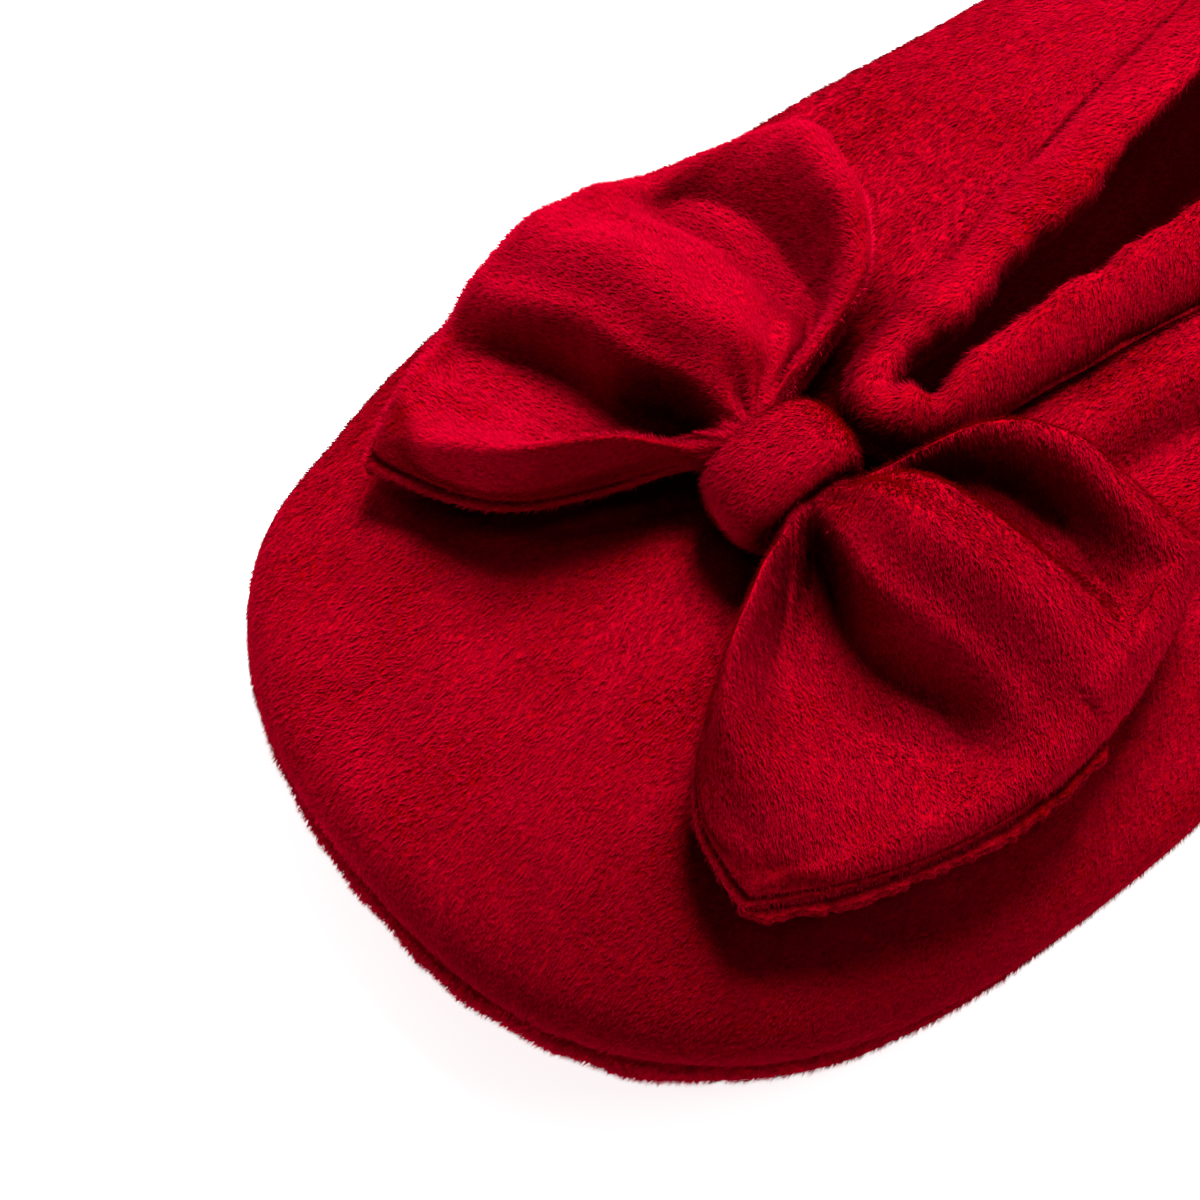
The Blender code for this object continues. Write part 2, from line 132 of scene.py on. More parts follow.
COLLAR_FAN = table(
    "ring collar",
    (0.00, 0.00),
    (0.18, 0.03),
    (0.32, 0.10),
    (0.44, 0.26),
    (0.70, 0.60),
    (0.88, 0.87),
    (1.00, 1.00),
)
CASING_SECTIONS = table(
    "collar width upright",
    (0.00, 0.50, 0.75),
    (0.08, 0.62, 0.60),
    (0.26, 0.88, 0.40),
    (0.50, 1.00, 0.35),
    (0.80, 0.95, 0.35),
    (1.00, 0.85, 0.45),
)
# The bow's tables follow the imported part's, with more folds between its front and rear edge
BOW_OUTLINE = table(
    "out front rear drop body",
    (0.00, 0.16, 0.16, 0.00, 1.00),
    (0.14, 0.18, 0.18, 0.00, 1.00),
    (0.25, 0.40, 0.60, 0.00, 0.90),
    (0.42, 0.76, 0.80, 0.15, 0.95),
    (0.62, 0.95, 0.87, 0.45, 0.95),
    (0.82, 1.00, 0.93, 0.80, 1.00),
    (1.00, 1.01, 0.97, 1.00, 0.95),
)
FOLD_PLACES = {
    "lip": -1.0, "crest": -0.84, "shelf": -0.58, "sink": -0.33, "brow": -0.06,
    "ridge": 0.20, "heel": 0.42, "dip": 0.66, "rim": 1.0,
}
# Heights of the cloth's middle at those places, of BOW_RIDGE
BOW_FOLDS = table(
    "out lip crest shelf sink brow ridge heel dip rim",
    (0.00, 0.00, 0.00, 0.00, 0.00, 0.02, 0.04, 0.02, 0.00, 0.00),
    (0.14, 0.00, 0.00, 0.00, 0.00, 0.03, 0.06, 0.03, 0.00, 0.00),
    (0.24, -0.24, 0.46, -0.26, -0.62, 0.32, 0.54, 0.32, -0.40, 0.22),
    (0.42, -0.20, 0.40, -0.28, -0.68, 0.50, 0.78, 0.46, -0.54, 0.28),
    (0.60, -0.12, 0.22, -0.20, -0.60, 0.44, 0.72, 0.42, -0.50, 0.24),
    (0.78, -0.03, 0.08, -0.08, -0.34, 0.20, 0.44, 0.22, -0.26, 0.12),
    (1.00, 0.00, 0.00, 0.00, 0.00, 0.02, 0.03, 0.01, 0.00, 0.00),
)

# Steps of the skins
RING_STEPS = 480
UPPER_STEPS, LINING_STEPS = 50, 12
EDGE_STEPS = 4
CASING_STEPS = 36
WING_STEPS, WING_ACROSS_STEPS = 240, 104
WING_ENDS_CLOSER = 0.42
WRAP_STEPS = 16
UNDER_EDGE_STEPS = 130

# Relief of the upper: places under the collar seam, widths and heights in millimetres
LONG_FOLDS = table(
    "below width height",
    (6.0, 3.4, 1.9),
    (12.5, 3.2, -2.0),
    (19.0, 4.0, 1.3),
    (27.0, 4.5, -0.7),
)
FOLDS_START, FOLDS_END = (-0.054, -0.040), (0.070, 0.030)
GATHERS_DEPTH, GATHERS_START = 9 * MM, (0.0, 0.05)
GROOVE_WIDTH, GROOVE_HEIGHT = 1.6 * MM, -0.5
PUFF = {"row": 0.15, "width": 0.12, "height": 2.3}
PUFF_END, FAR_PUFF_END = (0.10, 0.0), (-0.094, -0.112)
HELD_ROWS = (0.0, 0.06)

# Ruffles and waves of the casing: how much they widen it upward and outward
CASING_FULLNESS = 1.05
RUFFLE_TOP, RUFFLE_BELOW = (-0.2, 1.0), 0.35
RUFFLE_UP, RUFFLE_OUT = 0.9, 0.6
WAVE_UP, WAVE_OUT = 0.5 * MM, 0.12

# The wings' folds: how far they swing, and what differs on the -X wing, which lies further off
SWING_BACK = {"by": 0.20, "out": (0.35, 0.80), "across": (0.74, 0.30)}
SWINGS_AHEAD = table("by out", (0.11, (0.25, 0.45)), (0.14, (0.55, 0.90)))
FAR_FOLDS_STRETCH = 0.86
FAR_FRONT = {"by": 0.07, "out": -0.64, "width": 0.26}
FAR_HOLLOW = {"depth": 2.6, "across": 0.40, "width": 0.17}
FAR_RISE = {"height": 2.4, "across": (0.50, 0.95)}
FAR_START, FAR_END = (0.35, 0.55), (1.02, 0.80)
LIP_TAPER = {"by": 0.55, "out": (0.45, 1.0), "width": 0.30}

# Relief of the wings: pleats by the knot, dents, the hem in front and the roll behind
PLEATS = table("waves shift height", (2.3, 0.15, 0.50), (4.1, 0.00, 0.30))
PLEATS_START, PLEATS_FADE = (5 * MM, 8 * MM), 5 * MM
DENTS = table(
    "x length across width height",
    (-12.5 * MM, 3.4 * MM, 0.43, 0.09, -3.6),
    (-11.0 * MM, 5.0 * MM, 0.60, 0.08, 1.0),
    (16.0 * MM, 8.0 * MM, -0.83, 0.10, 1.7),
)
HEM = {"inset": 2.4 * MM, "width": 1.5 * MM, "height": 0.5, "start": (8 * MM, 16 * MM)}
ROLL = {"inset": 3.2 * MM, "width": 1.9 * MM, "height": 0.9, "start": (6 * MM, 14 * MM)}
ROLL_ACROSS = 0.3
WING_SOFT_EDGE, WING_LEAST = 3.0 * MM, 0.8 * MM
SEWN_LINES = table("depth width pull", (0.95 * MM, 0.38 * MM, 1.0), (1.75 * MM, 0.34 * MM, 0.6))
SEWN_START, SEWN_PULL = (0.1, 0.3), 0.8 * MM

# The second cloth layer under the wings' outer edges
LAYER_SPAN = 0.64
LAYER_LEAST, LAYER_SHOWN = 0.2, 0.9
LAYER_START, LAYER_END = (0.0, 0.06), (1.0, 0.97)
FAR_LAYER, NEAR_LAYER = -0.6 * MM, 1.0 * MM
LAYER_INNER, LAYER_INNER_DOWN = 2.5 * MM, 0.4 * MM
LAYER_DOWN, LAYER_THICKNESS, LAYER_THIN = 0.5, 1.8 * MM, 0.9

# Knot, insole and grip sheet
KNOT_CROWN, KNOT_DRIFT = 0.9 * MM, 0.3 * MM
KNOT_ROUND, KNOT_SIDE_ROUND = 0.85, 0.80
INSOLE_DIP, INSOLE_DIP_DEPTH = 3 * MM, 0.2 * MM
SHEET_LOW, SHEET_LOW_EDGE = 0.5 * MM, 0.3 * MM
# Grip dots, in staggered rows
DOT_SPACING, DOT_ROW_SHARE = 6.2 * MM, 0.866
DOT_ROWS, DOTS_ACROSS, DOT_SIDES = 21, 8, 10
DOT_RADIUS, DOT_MARGIN = 1.1 * MM, 3.5 * MM
# Each ring of a dot, from the sheet to the floor: share of its radius, and its height
DOT_RINGS = ((1.0, 0.6 * MM), (0.8, 0.1 * MM), (0.45, 0.0))

# Piles: how many fibres, their size in millimetres, how much their own facing and their shades
# show, and their rise over the skin in degrees
PILE_TABLE = table(
    "name count length width seed rough patchy rise",
    ("rim_pile", 52000, 1.00, 0.19, 51, 0.30, 1.0, 32),
    ("vamp_pile", 186000, 0.80, 0.17, 11, 0.30, 1.0, 32),
    ("quarter_pile", 172000, 0.85, 0.19, 12, 0.08, 0.4, 18),
    ("casing_pile", 104000, 0.85, 0.17, 21, 0.20, 0.7, 32),
    ("bow_pile", 160000, 0.80, 0.16, 31, 0.30, 1.0, 32),
    ("under_edge_pile", 14000, 0.90, 0.16, 35, 0.30, 1.0, 32),
    ("knot_pile", 22000, 0.75, 0.16, 41, 0.20, 1.0, 32),
)
PILES = {row["name"]: row for row in PILE_TABLE}
# How single fibres differ; angles in radians
CLUMP_SIZE = 1.8 * MM
TURN_SPREAD, CLUMP_TURN = 0.24, 0.25
RISE_SPREAD, CLUMP_RISE, RISE_LIMITS = 0.16, 0.10, (0.12, 1.4)
LENGTH_SHARES, WIDTH_SHARES = (0.65, 1.25), (0.7, 1.3)
ROOT_DEPTH = 0.08 * MM
STRAY_FACING = 0.3

# Where the nap runs and changes
UPPER_NAP = (0.25, -1.0, -0.15)
PILES_MEET = (-0.030, -0.004)
SPARSE_FROM, SPARSE_DENSITY = 0.040, 0.45
# Painted shade on the toe's +X corner, which faces away from the key light: its way, where it starts and
# how deep
TOE_SHADE_WAY, TOE_SHADE_START, TOE_SHADE = (0.78, -0.62), (0.060, 0.092), 0.36
WING_NAP, RIM_NAP, LAYER_NAP = (0.9, -0.45, -0.1), (0.1, -0.6, -0.5), (1.0, -0.2, -0.4)
CASING_NAP_ALONG, CASING_NAP_DOWN = 0.7, 0.6
RIM_NAP_OUT = 0.8
UNDER_WING_DENSITY = 0.3
# Less pile on the sewn lines, and painted shade in their grooves
SEAM_BARE, SEAM_SHADE = 1.2, 0.75
# The under layer's edge takes only part of the painted fold shade
LAYER_SHADE_SHARE = 0.35

# Rays that look for folds over a point of the cloth; angles in radians
GOLDEN_ANGLE, FULL_TURN = 2.399963, 6.28

# Colours, linear
PILE_TIP = (0.44, 0.0001, 0.017)
# The root colour is painted shade among the fibres, and also the deep red of random grain in cloth and
# knit
DEEP_RED_AND_ROOT_SHADE = (0.08, 0.0001, 0.0006)
SKIN_RED = (0.20, 0.0001, 0.0015)
# Painted shade for folds, sewn grooves and the toe's +X corner
PAINTED_SHADE_RED = (0.012, 0.0, 0.0)
LINING_RED = (0.15, 0.0006, 0.004)
GRIP_RED = (0.14, 0.003, 0.008)
GRIP_DARK = tuple(part * 0.5 for part in GRIP_RED)
SHEEN_PINK = (1.0, 0.003, 0.045)
FLOOR_WHITE = (0.92, 0.92, 0.93)
FLOOR_GREY = tuple(part * 0.985 for part in FLOOR_WHITE)

# The camera, fitted to the photograph's outline and to the bow's corners
CAMERA_AZIMUTH, CAMERA_ELEVATION, CAMERA_ROLL = 51.45, 63.05, 0.8
CAMERA_DISTANCE = 0.480
CAMERA_TARGET = (-0.0038, -0.0892, 0.030)
CAMERA_LENS = 138.1

# Lights: where they stand round the slipper in degrees, how far, how large and how strong
LIGHTS = table(
    "name azimuth elevation distance size power",
    ("key", 214, 61, 1.7, 0.60, 108.0),
    ("rim", 262, 16, 1.0, 0.50, 3.0),
    ("fill", 150, 46, 1.0, 0.60, 2.6),
)
LIGHT_AIM = (0, -0.06, 0.03)
WORLD_COLOUR, WORLD_STRENGTH = (1.0, 0.98, 0.98, 1.0), 0.15
# The floor's glow is painted light: it lifts the shadows on the floor and lights the slipper from below
FLOOR_REACH, FLOOR_PAINTED_GLOW = 4.0, 0.84


# Curves and rings

def curves(rows, key, at, flat_ends=True):
    """A table's columns at an array of values of its key column, on cubics through the rows."""
    keys = np.array([row[key] for row in rows])
    at = np.clip(at, keys[0], keys[-1])
    low = np.clip(np.searchsorted(keys, at, side="right") - 1, 0, len(keys) - 2)
    span = keys[low + 1] - keys[low]
    part = (at - keys[low]) / span
    found = {}
    for name in rows[0]:
        if name == key:
            continue
        values = np.array([row[name] for row in rows])
        slopes = np.gradient(values, keys)
        slopes[1:-1] = (values[2:] - values[:-2]) / (keys[2:] - keys[:-2])
        if flat_ends:
            slopes[0] = slopes[-1] = 0.0
        found[name] = (
            values[low] * (1 + 2 * part) * (1 - part) ** 2
            + slopes[low] * span * part * (1 - part) ** 2
            + values[low + 1] * part**2 * (3 - 2 * part)
            + slopes[low + 1] * span * part**2 * (part - 1)
        )
    return found


def closing(distance, share, power):
    """Share of a loop's width left at a distance from one of its ends, both as shares."""
    return (1 - np.clip(1 - distance / share, 0, None) ** power) ** (1 / power)


def sole_half_width(share):
    mix = curves(SOLE_WIDTHS, "along", share)
    width = mix["ball"] * BALL_WIDTH + mix["waist"] * WAIST_WIDTH + mix["heel"] * HEEL_WIDTH
    toe = closing(share, TOE_ROUND_SHARE, TOE_POWER)
    return (width / 2 - RIM_PROUD) * toe * closing(1 - share, HEEL_ROUND_SHARE, HEEL_POWER)


def collar_half_width(share):
    spread = curves(COLLAR_WIDTHS, "along", share, flat_ends=False)["spread"]
    width = THROAT_WIDTH + spread * (COLLAR_WIDTH - THROAT_WIDTH)
    front = closing(share, THROAT_ROUND_SHARE, THROAT_POWER)
    return width / 2 * front * closing(1 - share, BACK_ROUND_SHARE, BACK_POWER)


def evenly(points, parts):
    """Points at those parts of a line's length."""
    steps = np.linalg.norm(np.diff(points, axis=0), axis=1)
    lengths = np.concatenate([[0.0], np.cumsum(steps)])
    want = np.asarray(parts) * lengths[-1]
    return np.stack([np.interp(want, lengths, column) for column in points.T], axis=1)


def loop_shares(steps=900):
    return (1 - np.cos(np.pi * np.arange(steps + 1) / steps)) / 2


def lift(y):
    """Height of the sole's underside over the floor: toe spring, level, arch, level."""
    share = y / SOLE_LENGTH + 0.5
    spring = TOE_SPRING * np.clip(1 - share / SPRING_SHARE, 0, None) ** 2
    across = np.clip((share - ARCH_FROM_SHARE) / (ARCH_TO_SHARE - ARCH_FROM_SHARE), 0, 1)
    return spring + ARCH_RISE * np.sin(np.pi * across) ** 2


def foot_line():
    share = loop_shares()
    inner = SOLE_LENGTH - 2 * RIM_PROUD
    return np.stack([sole_half_width(share), (share - 0.5) * inner], axis=1)


def collar_line():
    along = loop_shares()
    share = COLLAR_FROM_SHARE + (COLLAR_TO_SHARE - COLLAR_FROM_SHARE) * along
    mix = curves(COLLAR_HEIGHTS, "along", along)
    height = (
        QUARTER_HEIGHT
        + mix["throat"] * (THROAT_HEIGHT - QUARTER_HEIGHT)
        + mix["back"] * (BACK_HEIGHT - QUARTER_HEIGHT)
    )
    return np.stack([collar_half_width(along), (share - 0.5) * SOLE_LENGTH, height], axis=1)


def ring_shares(count=RING_STEPS):
    """Share of the half line and side, round the whole loop, from the toe."""
    i = np.arange(count)
    half = count // 2
    return np.where(i <= half, i, count - i) / half, np.where(i <= half, 1, -1)


def collar_part(share):
    return curves(COLLAR_FAN, "ring", share, flat_ends=False)["collar"]


def foot_ring(count=RING_STEPS):
    share, side = ring_shares(count)
    flat = evenly(foot_line(), share)
    return np.stack([flat[:, 0] * side, flat[:, 1], SEAT + lift(flat[:, 1])], axis=1)


def collar_ring():
    share, side = ring_shares()
    part = collar_part(share)
    ring = evenly(collar_line(), part)
    ring[:, 0] *= side
    slump = curves(SLUMP_PLACES, "collar", part)["inward"] * COLLAR_SLUMP
    ring[:, 0] -= np.where(side > 0, slump, 0.0)
    return ring


def unit(vectors):
    return vectors / np.maximum(np.linalg.norm(vectors, axis=-1, keepdims=True), 1e-12)


def upper_rows(steps):
    """Points of the upper's outer face, shaped (rows, ring, 3), foot to collar."""
    share = ring_shares()[0]
    foot, collar = foot_ring(), collar_ring()
    row = {name: values[:, None] for name, values in curves(UPPER_SECTIONS, "ring", share).items()}
    rise = np.zeros_like(foot)
    rise[:, 2] = collar[:, 2] - foot[:, 2]
    run = (foot - collar) * (1, 1, 0)
    low = foot + unit(run) * row["bulge"] * FOOT_BULGE + rise * row["rise"]
    high = collar + run * row["reach"] - rise * row["fall"]
    t = np.linspace(0, 1, steps + 1)[:, None, None]
    return (
        foot * (1 - t) ** 3 + low * 3 * t * (1 - t) ** 2 + high * 3 * t * t * (1 - t) + collar * t**3
    )


def grid_normals(rows):
    """Outward unit normals of a grid of closed rings."""
    along = np.roll(rows, -1, axis=1) - np.roll(rows, 1, axis=1)
    up = np.concatenate([rows[1:2] - rows[:1], rows[2:] - rows[:-2], rows[-1:] - rows[-2:-1]])
    return unit(np.cross(along, up))


# Small tools for cloth

# Keeps the noise of one seed away from that of the next
NOISE_APART = (7.3, 3.1, 5.7)


def smooth_step(low, high, at):
    part = np.clip((at - low) / (high - low), 0, 1)
    return part * part * (3 - 2 * part)


def bump(at, centre, width):
    return np.exp(-(((at - centre) / width) ** 2))


def wander(turns, knots, seed, height=1.0):
    """A smooth random line between -height and height that closes after one turn."""
    values = np.random.default_rng(seed).uniform(-1, 1, knots)
    place = (turns % 1.0) * knots
    low = np.floor(place).astype(int)
    part = place - low
    part = part * part * (3 - 2 * part)
    return (values[low % knots] * (1 - part) + values[(low + 1) % knots] * part) * height


def mottle(points, size, seed, height):
    """Smooth noise at each point, up to about 0.7 of the height, with features of that size."""
    offset = Vector([seed * apart for apart in NOISE_APART])
    flat = points.reshape(-1, 3)
    found = [noise.noise(Vector(p) / size + offset) for p in flat]
    return np.array(found).reshape(points.shape[:-1]) * height


def shell_faces(rings, count, closed):
    """Quads between rings; the last ring joins the first where the tube is closed."""
    i, j = np.meshgrid(np.arange(rings if closed else rings - 1), np.arange(count), indexing="ij")
    low, high, k = i * count, (i + 1) % rings * count, (j + 1) % count
    return np.stack([low + j, low + k, high + k, high + j], axis=-1).reshape(-1, 4)


def linked(name, data):
    """A new object in the scene."""
    found = bpy.data.objects.new(name, data)
    bpy.context.scene.collection.objects.link(found)
    return found


def piece(name, points, faces, material, node, smooth=True):
    """One visible piece in the place of a CAD node."""
    mesh = bpy.data.meshes.new(name)
    corners = [[int(k) for k in face] for face in faces]
    mesh.from_pydata(np.asarray(points).reshape(-1, 3).tolist(), [], corners)
    mesh.update()
    if smooth:
        mesh.shade_smooth()
    mesh.materials.append(material)
    found = linked(name, mesh)
    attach(found, "root")
    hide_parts(node)
    return found


# Materials

def principled(name, roughness, specular):
    material = bpy.data.materials.new(name)
    material.use_nodes = True
    tree = material.node_tree
    shader = tree.nodes["Principled BSDF"]
    shader.inputs["Roughness"].default_value = roughness
    shader.inputs["Specular IOR Level"].default_value = specular
    return material, tree, shader


def node(tree, kind, inputs=(), **settings):
    found = tree.nodes.new(kind)
    for name, value in settings.items():
        setattr(found, name, value)
    for name, value in dict(inputs).items():
        found.inputs[name].default_value = value
    return found


def place(tree, scale=(1.0, 1.0, 1.0)):
    """Object coordinates, stretched by a scale along each axis."""
    source = node(tree, "ShaderNodeTexCoord")
    mapping = node(tree, "ShaderNodeMapping", {"Scale": scale})
    tree.links.new(source.outputs["Object"], mapping.inputs["Vector"])
    return mapping.outputs["Vector"]


def noise_at(tree, vector, scale, detail=3.0, roughness=0.55):
    found = node(
        tree, "ShaderNodeTexNoise", {"Scale": scale, "Detail": detail, "Roughness": roughness}
    )
    tree.links.new(vector, found.inputs["Vector"])
    return found.outputs["Fac"]


def mixed(tree, factor, first, second):
    """A colour between two, by a factor socket."""
    found = node(tree, "ShaderNodeMix", data_type="RGBA")
    for index, colour in ((6, first), (7, second)):
        if isinstance(colour, tuple):
            found.inputs[index].default_value = (*colour, 1.0)
        else:
            tree.links.new(colour, found.inputs[index])
    tree.links.new(factor, found.inputs[0])
    return found.outputs[2]


def remap(tree, value, low, high, to_low=0.0, to_high=1.0):
    found = node(
        tree,
        "ShaderNodeMapRange",
        {"From Min": low, "From Max": high, "To Min": to_low, "To Max": to_high},
    )
    tree.links.new(value, found.inputs["Value"])
    return found.outputs["Result"]


def bumped(tree, shader, height, distance, strength=1.0):
    found = node(tree, "ShaderNodeBump", {"Distance": distance, "Strength": strength})
    tree.links.new(height, found.inputs["Height"])
    tree.links.new(found.outputs["Normal"], shader.inputs["Normal"])


def add_sheen(shader, weight, roughness):
    shader.inputs["Sheen Weight"].default_value = weight
    shader.inputs["Sheen Roughness"].default_value = roughness
    shader.inputs["Sheen Tint"].default_value = (*SHEEN_PINK, 1.0)


def with_painted_shade(tree, colour):
    """The colour with painted shade: darkened where folds close the cloth in and where more painted shade
    is marked.
    """
    painted_shade = node(tree, "ShaderNodeAttribute", attribute_name="painted_shade").outputs["Fac"]
    return mixed(tree, remap(tree, painted_shade, low=0.12, high=0.62, to_high=0.93), colour, PAINTED_SHADE_RED)


def skin_material():
    """The ground cloth under the pile: darker between the fibres, partly as painted shade under them,
    grained at their scale.
    """
    material, tree, shader = principled("velour_ground", roughness=0.95, specular=0.0)
    spot = place(tree, (1.0, 0.55, 1.0))
    fine = noise_at(tree, spot, scale=2600, detail=2.0)
    wide = noise_at(tree, spot, scale=110)
    colour = mixed(tree, remap(tree, fine, low=0.38, high=0.62), DEEP_RED_AND_ROOT_SHADE, SKIN_RED)
    colour = mixed(tree, remap(tree, wide, low=0.35, high=0.70, to_high=0.35), colour, PILE_TIP)
    tree.links.new(with_painted_shade(tree, colour), shader.inputs["Base Color"])
    bumped(tree, shader, fine, distance=0.35 * MM, strength=0.8)
    add_sheen(shader, weight=0.20, roughness=0.45)
    return material


def pile_material():
    """The fibres: darker at the root as painted shade among the pile, bright at the tip, each a little
    different.
    """
    material, tree, shader = principled("velour_pile", roughness=0.85, specular=0.0)
    tip = node(tree, "ShaderNodeAttribute", attribute_name="tip").outputs["Fac"]
    shade = node(tree, "ShaderNodeAttribute", attribute_name="shade").outputs["Fac"]
    wide = noise_at(tree, place(tree), scale=140)
    # Painted shade among the pile: each fibre darkens from its tip down to its root
    colour = mixed(tree, remap(tree, tip, low=0.0, high=0.8), DEEP_RED_AND_ROOT_SHADE, PILE_TIP)
    darker = mixed(tree, remap(tree, shade, low=0.0, high=1.0, to_high=0.50), colour, DEEP_RED_AND_ROOT_SHADE)
    colour = mixed(tree, remap(tree, wide, low=0.35, high=0.65, to_high=0.22), darker, DEEP_RED_AND_ROOT_SHADE)
    tree.links.new(with_painted_shade(tree, colour), shader.inputs["Base Color"])
    add_sheen(shader, weight=0.42, roughness=0.40)
    return material


def lining_material():
    """Brushed knit: fine wales along the slipper."""
    material, tree, shader = principled("lining_knit", roughness=0.95, specular=0.0)
    wales = node(tree, "ShaderNodeTexWave", {"Scale": 700, "Distortion": 1.2, "Detail": 2.0})
    tree.links.new(place(tree, (1.0, 0.15, 1.0)), wales.inputs["Vector"])
    rough = noise_at(tree, place(tree), scale=1500)
    colour = mixed(tree, remap(tree, rough, low=0.3, high=0.7), DEEP_RED_AND_ROOT_SHADE, LINING_RED)
    tree.links.new(colour, shader.inputs["Base Color"])
    bumped(tree, shader, wales.outputs["Fac"], distance=0.12 * MM, strength=0.7)
    add_sheen(shader, weight=0.3, roughness=0.5)
    return material


def grip_material():
    """Rubber with a fine speckle."""
    material, tree, shader = principled("grip_rubber", roughness=0.6, specular=0.4)
    speckle = noise_at(tree, place(tree), scale=900, detail=4.0)
    colour = mixed(tree, speckle, GRIP_RED, GRIP_DARK)
    tree.links.new(colour, shader.inputs["Base Color"])
    rough = remap(tree, speckle, low=0.3, high=0.7, to_low=0.5, to_high=0.8)
    tree.links.new(rough, shader.inputs["Roughness"])
    bumped(tree, shader, speckle, distance=0.06 * MM, strength=0.6)
    return material


def floor_material():
    """White paper that glows a little as painted light: it lifts the shadows on the floor and lights the
    slipper from below.
    """
    material, tree, shader = principled("floor_paper", roughness=0.8, specular=0.2)
    grain = noise_at(tree, place(tree), scale=300)
    colour = mixed(tree, grain, FLOOR_WHITE, FLOOR_GREY)
    tree.links.new(colour, shader.inputs["Base Color"])
    shader.inputs["Emission Color"].default_value = (1.0, 1.0, 1.0, 1.0)
    shader.inputs["Emission Strength"].default_value = FLOOR_PAINTED_GLOW
    return material


# Pile

COATS = []


def coat(name, skin, lie, node_name, keep=None):
    """Notes down a pile to grow once every skin stands."""
    COATS.append({"name": name, "skin": skin, "lie": lie, "node_name": node_name, "keep": keep})


def hollows(skin, tree, rays=14, reach=9 * MM, above=0.5 * MM):
    """How much of the sky over each point of a skin is closed off within reach, 0 to 1; it sets the
    painted shade in folds.
    """
    random = np.random.default_rng(5)
    height = np.sqrt((np.arange(rays) + 0.5) / rays)
    turn = GOLDEN_ANGLE * np.arange(rays) + random.uniform(0, FULL_TURN)
    flat = np.sqrt(1 - height**2)
    local = np.stack([flat * np.cos(turn), flat * np.sin(turn), height], axis=1)
    found = np.zeros(len(skin.data.vertices))
    for i, vertex in enumerate(skin.data.vertices):
        normal = vertex.normal
        side = normal.orthogonal().normalized()
        other = normal.cross(side)
        start = vertex.co + normal * above
        for a, b, c in local:
            if tree.ray_cast(start, side * a + other * b + normal * c, reach)[0] is not None:
                found[i] += 1.0 / rays
    return found


def mark(mesh, name, values):
    """Stores one value for each point of a mesh."""
    made = mesh.attributes.new(name, "FLOAT", "POINT")
    made.data.foreach_set("value", np.asarray(values, np.float32))


def joined_tree(objects):
    """One ray-cast tree over several pieces."""
    points, faces = [], []
    for found in objects:
        first = len(points)
        points += [v.co for v in found.data.vertices]
        faces += [[first + k for k in p.vertices] for p in found.data.polygons]
    return BVHTree.FromPolygons(points, faces)


def grow_coats(material):
    """Grows every noted pile, with painted shade where its skin is closed in by folds and where painted
    shade is marked.
    """
    skins = list(dict.fromkeys(noted["skin"] for noted in COATS))
    tree = joined_tree(skins)
    painted_shades = {}
    for skin in skins:
        share = LAYER_SHADE_SHARE if skin.name == "bow_under_edge" else 1.0
        # Painted shade: the share of sky that folds close off, raised where painted shade is marked
        painted_shades[skin] = hollows(skin, tree) * share
        darker = skin.data.attributes.get("painted_shade_marks")
        if darker is not None:
            values = np.zeros(len(painted_shades[skin]), np.float32)
            darker.data.foreach_get("value", values)
            painted_shades[skin] = np.maximum(painted_shades[skin], values)
        mark(skin.data, "painted_shade", painted_shades[skin])
    for noted in COATS:
        pile(**noted, sizes=PILES[noted["name"]], material=material, painted_shade=painted_shades[noted["skin"]])


def in_threes(rows, name, kind):
    """A property with three values of every item, as an array."""
    found = np.empty(len(rows) * 3, kind)
    rows.foreach_get(name, found)
    return found.reshape(-1, 3)


def read_skin(mesh):
    """A mesh's points, their normals and its triangles."""
    mesh.calc_loop_triangles()
    points = in_threes(mesh.vertices, "co", float)
    normals = in_threes(mesh.vertex_normals, "vector", np.float32)
    return points, normals, in_threes(mesh.loop_triangles, "vertices", np.int32)


def blade_mesh(name, corners, facing):
    """One mesh of loose triangles, each with its own facing."""
    count = len(facing)
    blades = bpy.data.meshes.new(name)
    blades.vertices.add(count * 3)
    blades.vertices.foreach_set("co", corners.astype(np.float32).ravel())
    blades.loops.add(count * 3)
    blades.loops.foreach_set("vertex_index", np.arange(count * 3, dtype=np.int32))
    blades.polygons.add(count)
    blades.polygons.foreach_set("loop_start", np.arange(0, count * 3, 3, dtype=np.int32))
    blades.update(calc_edges=True)
    blades.normals_split_custom_set_from_vertices(np.repeat(facing, 3, axis=0).tolist())
    return blades


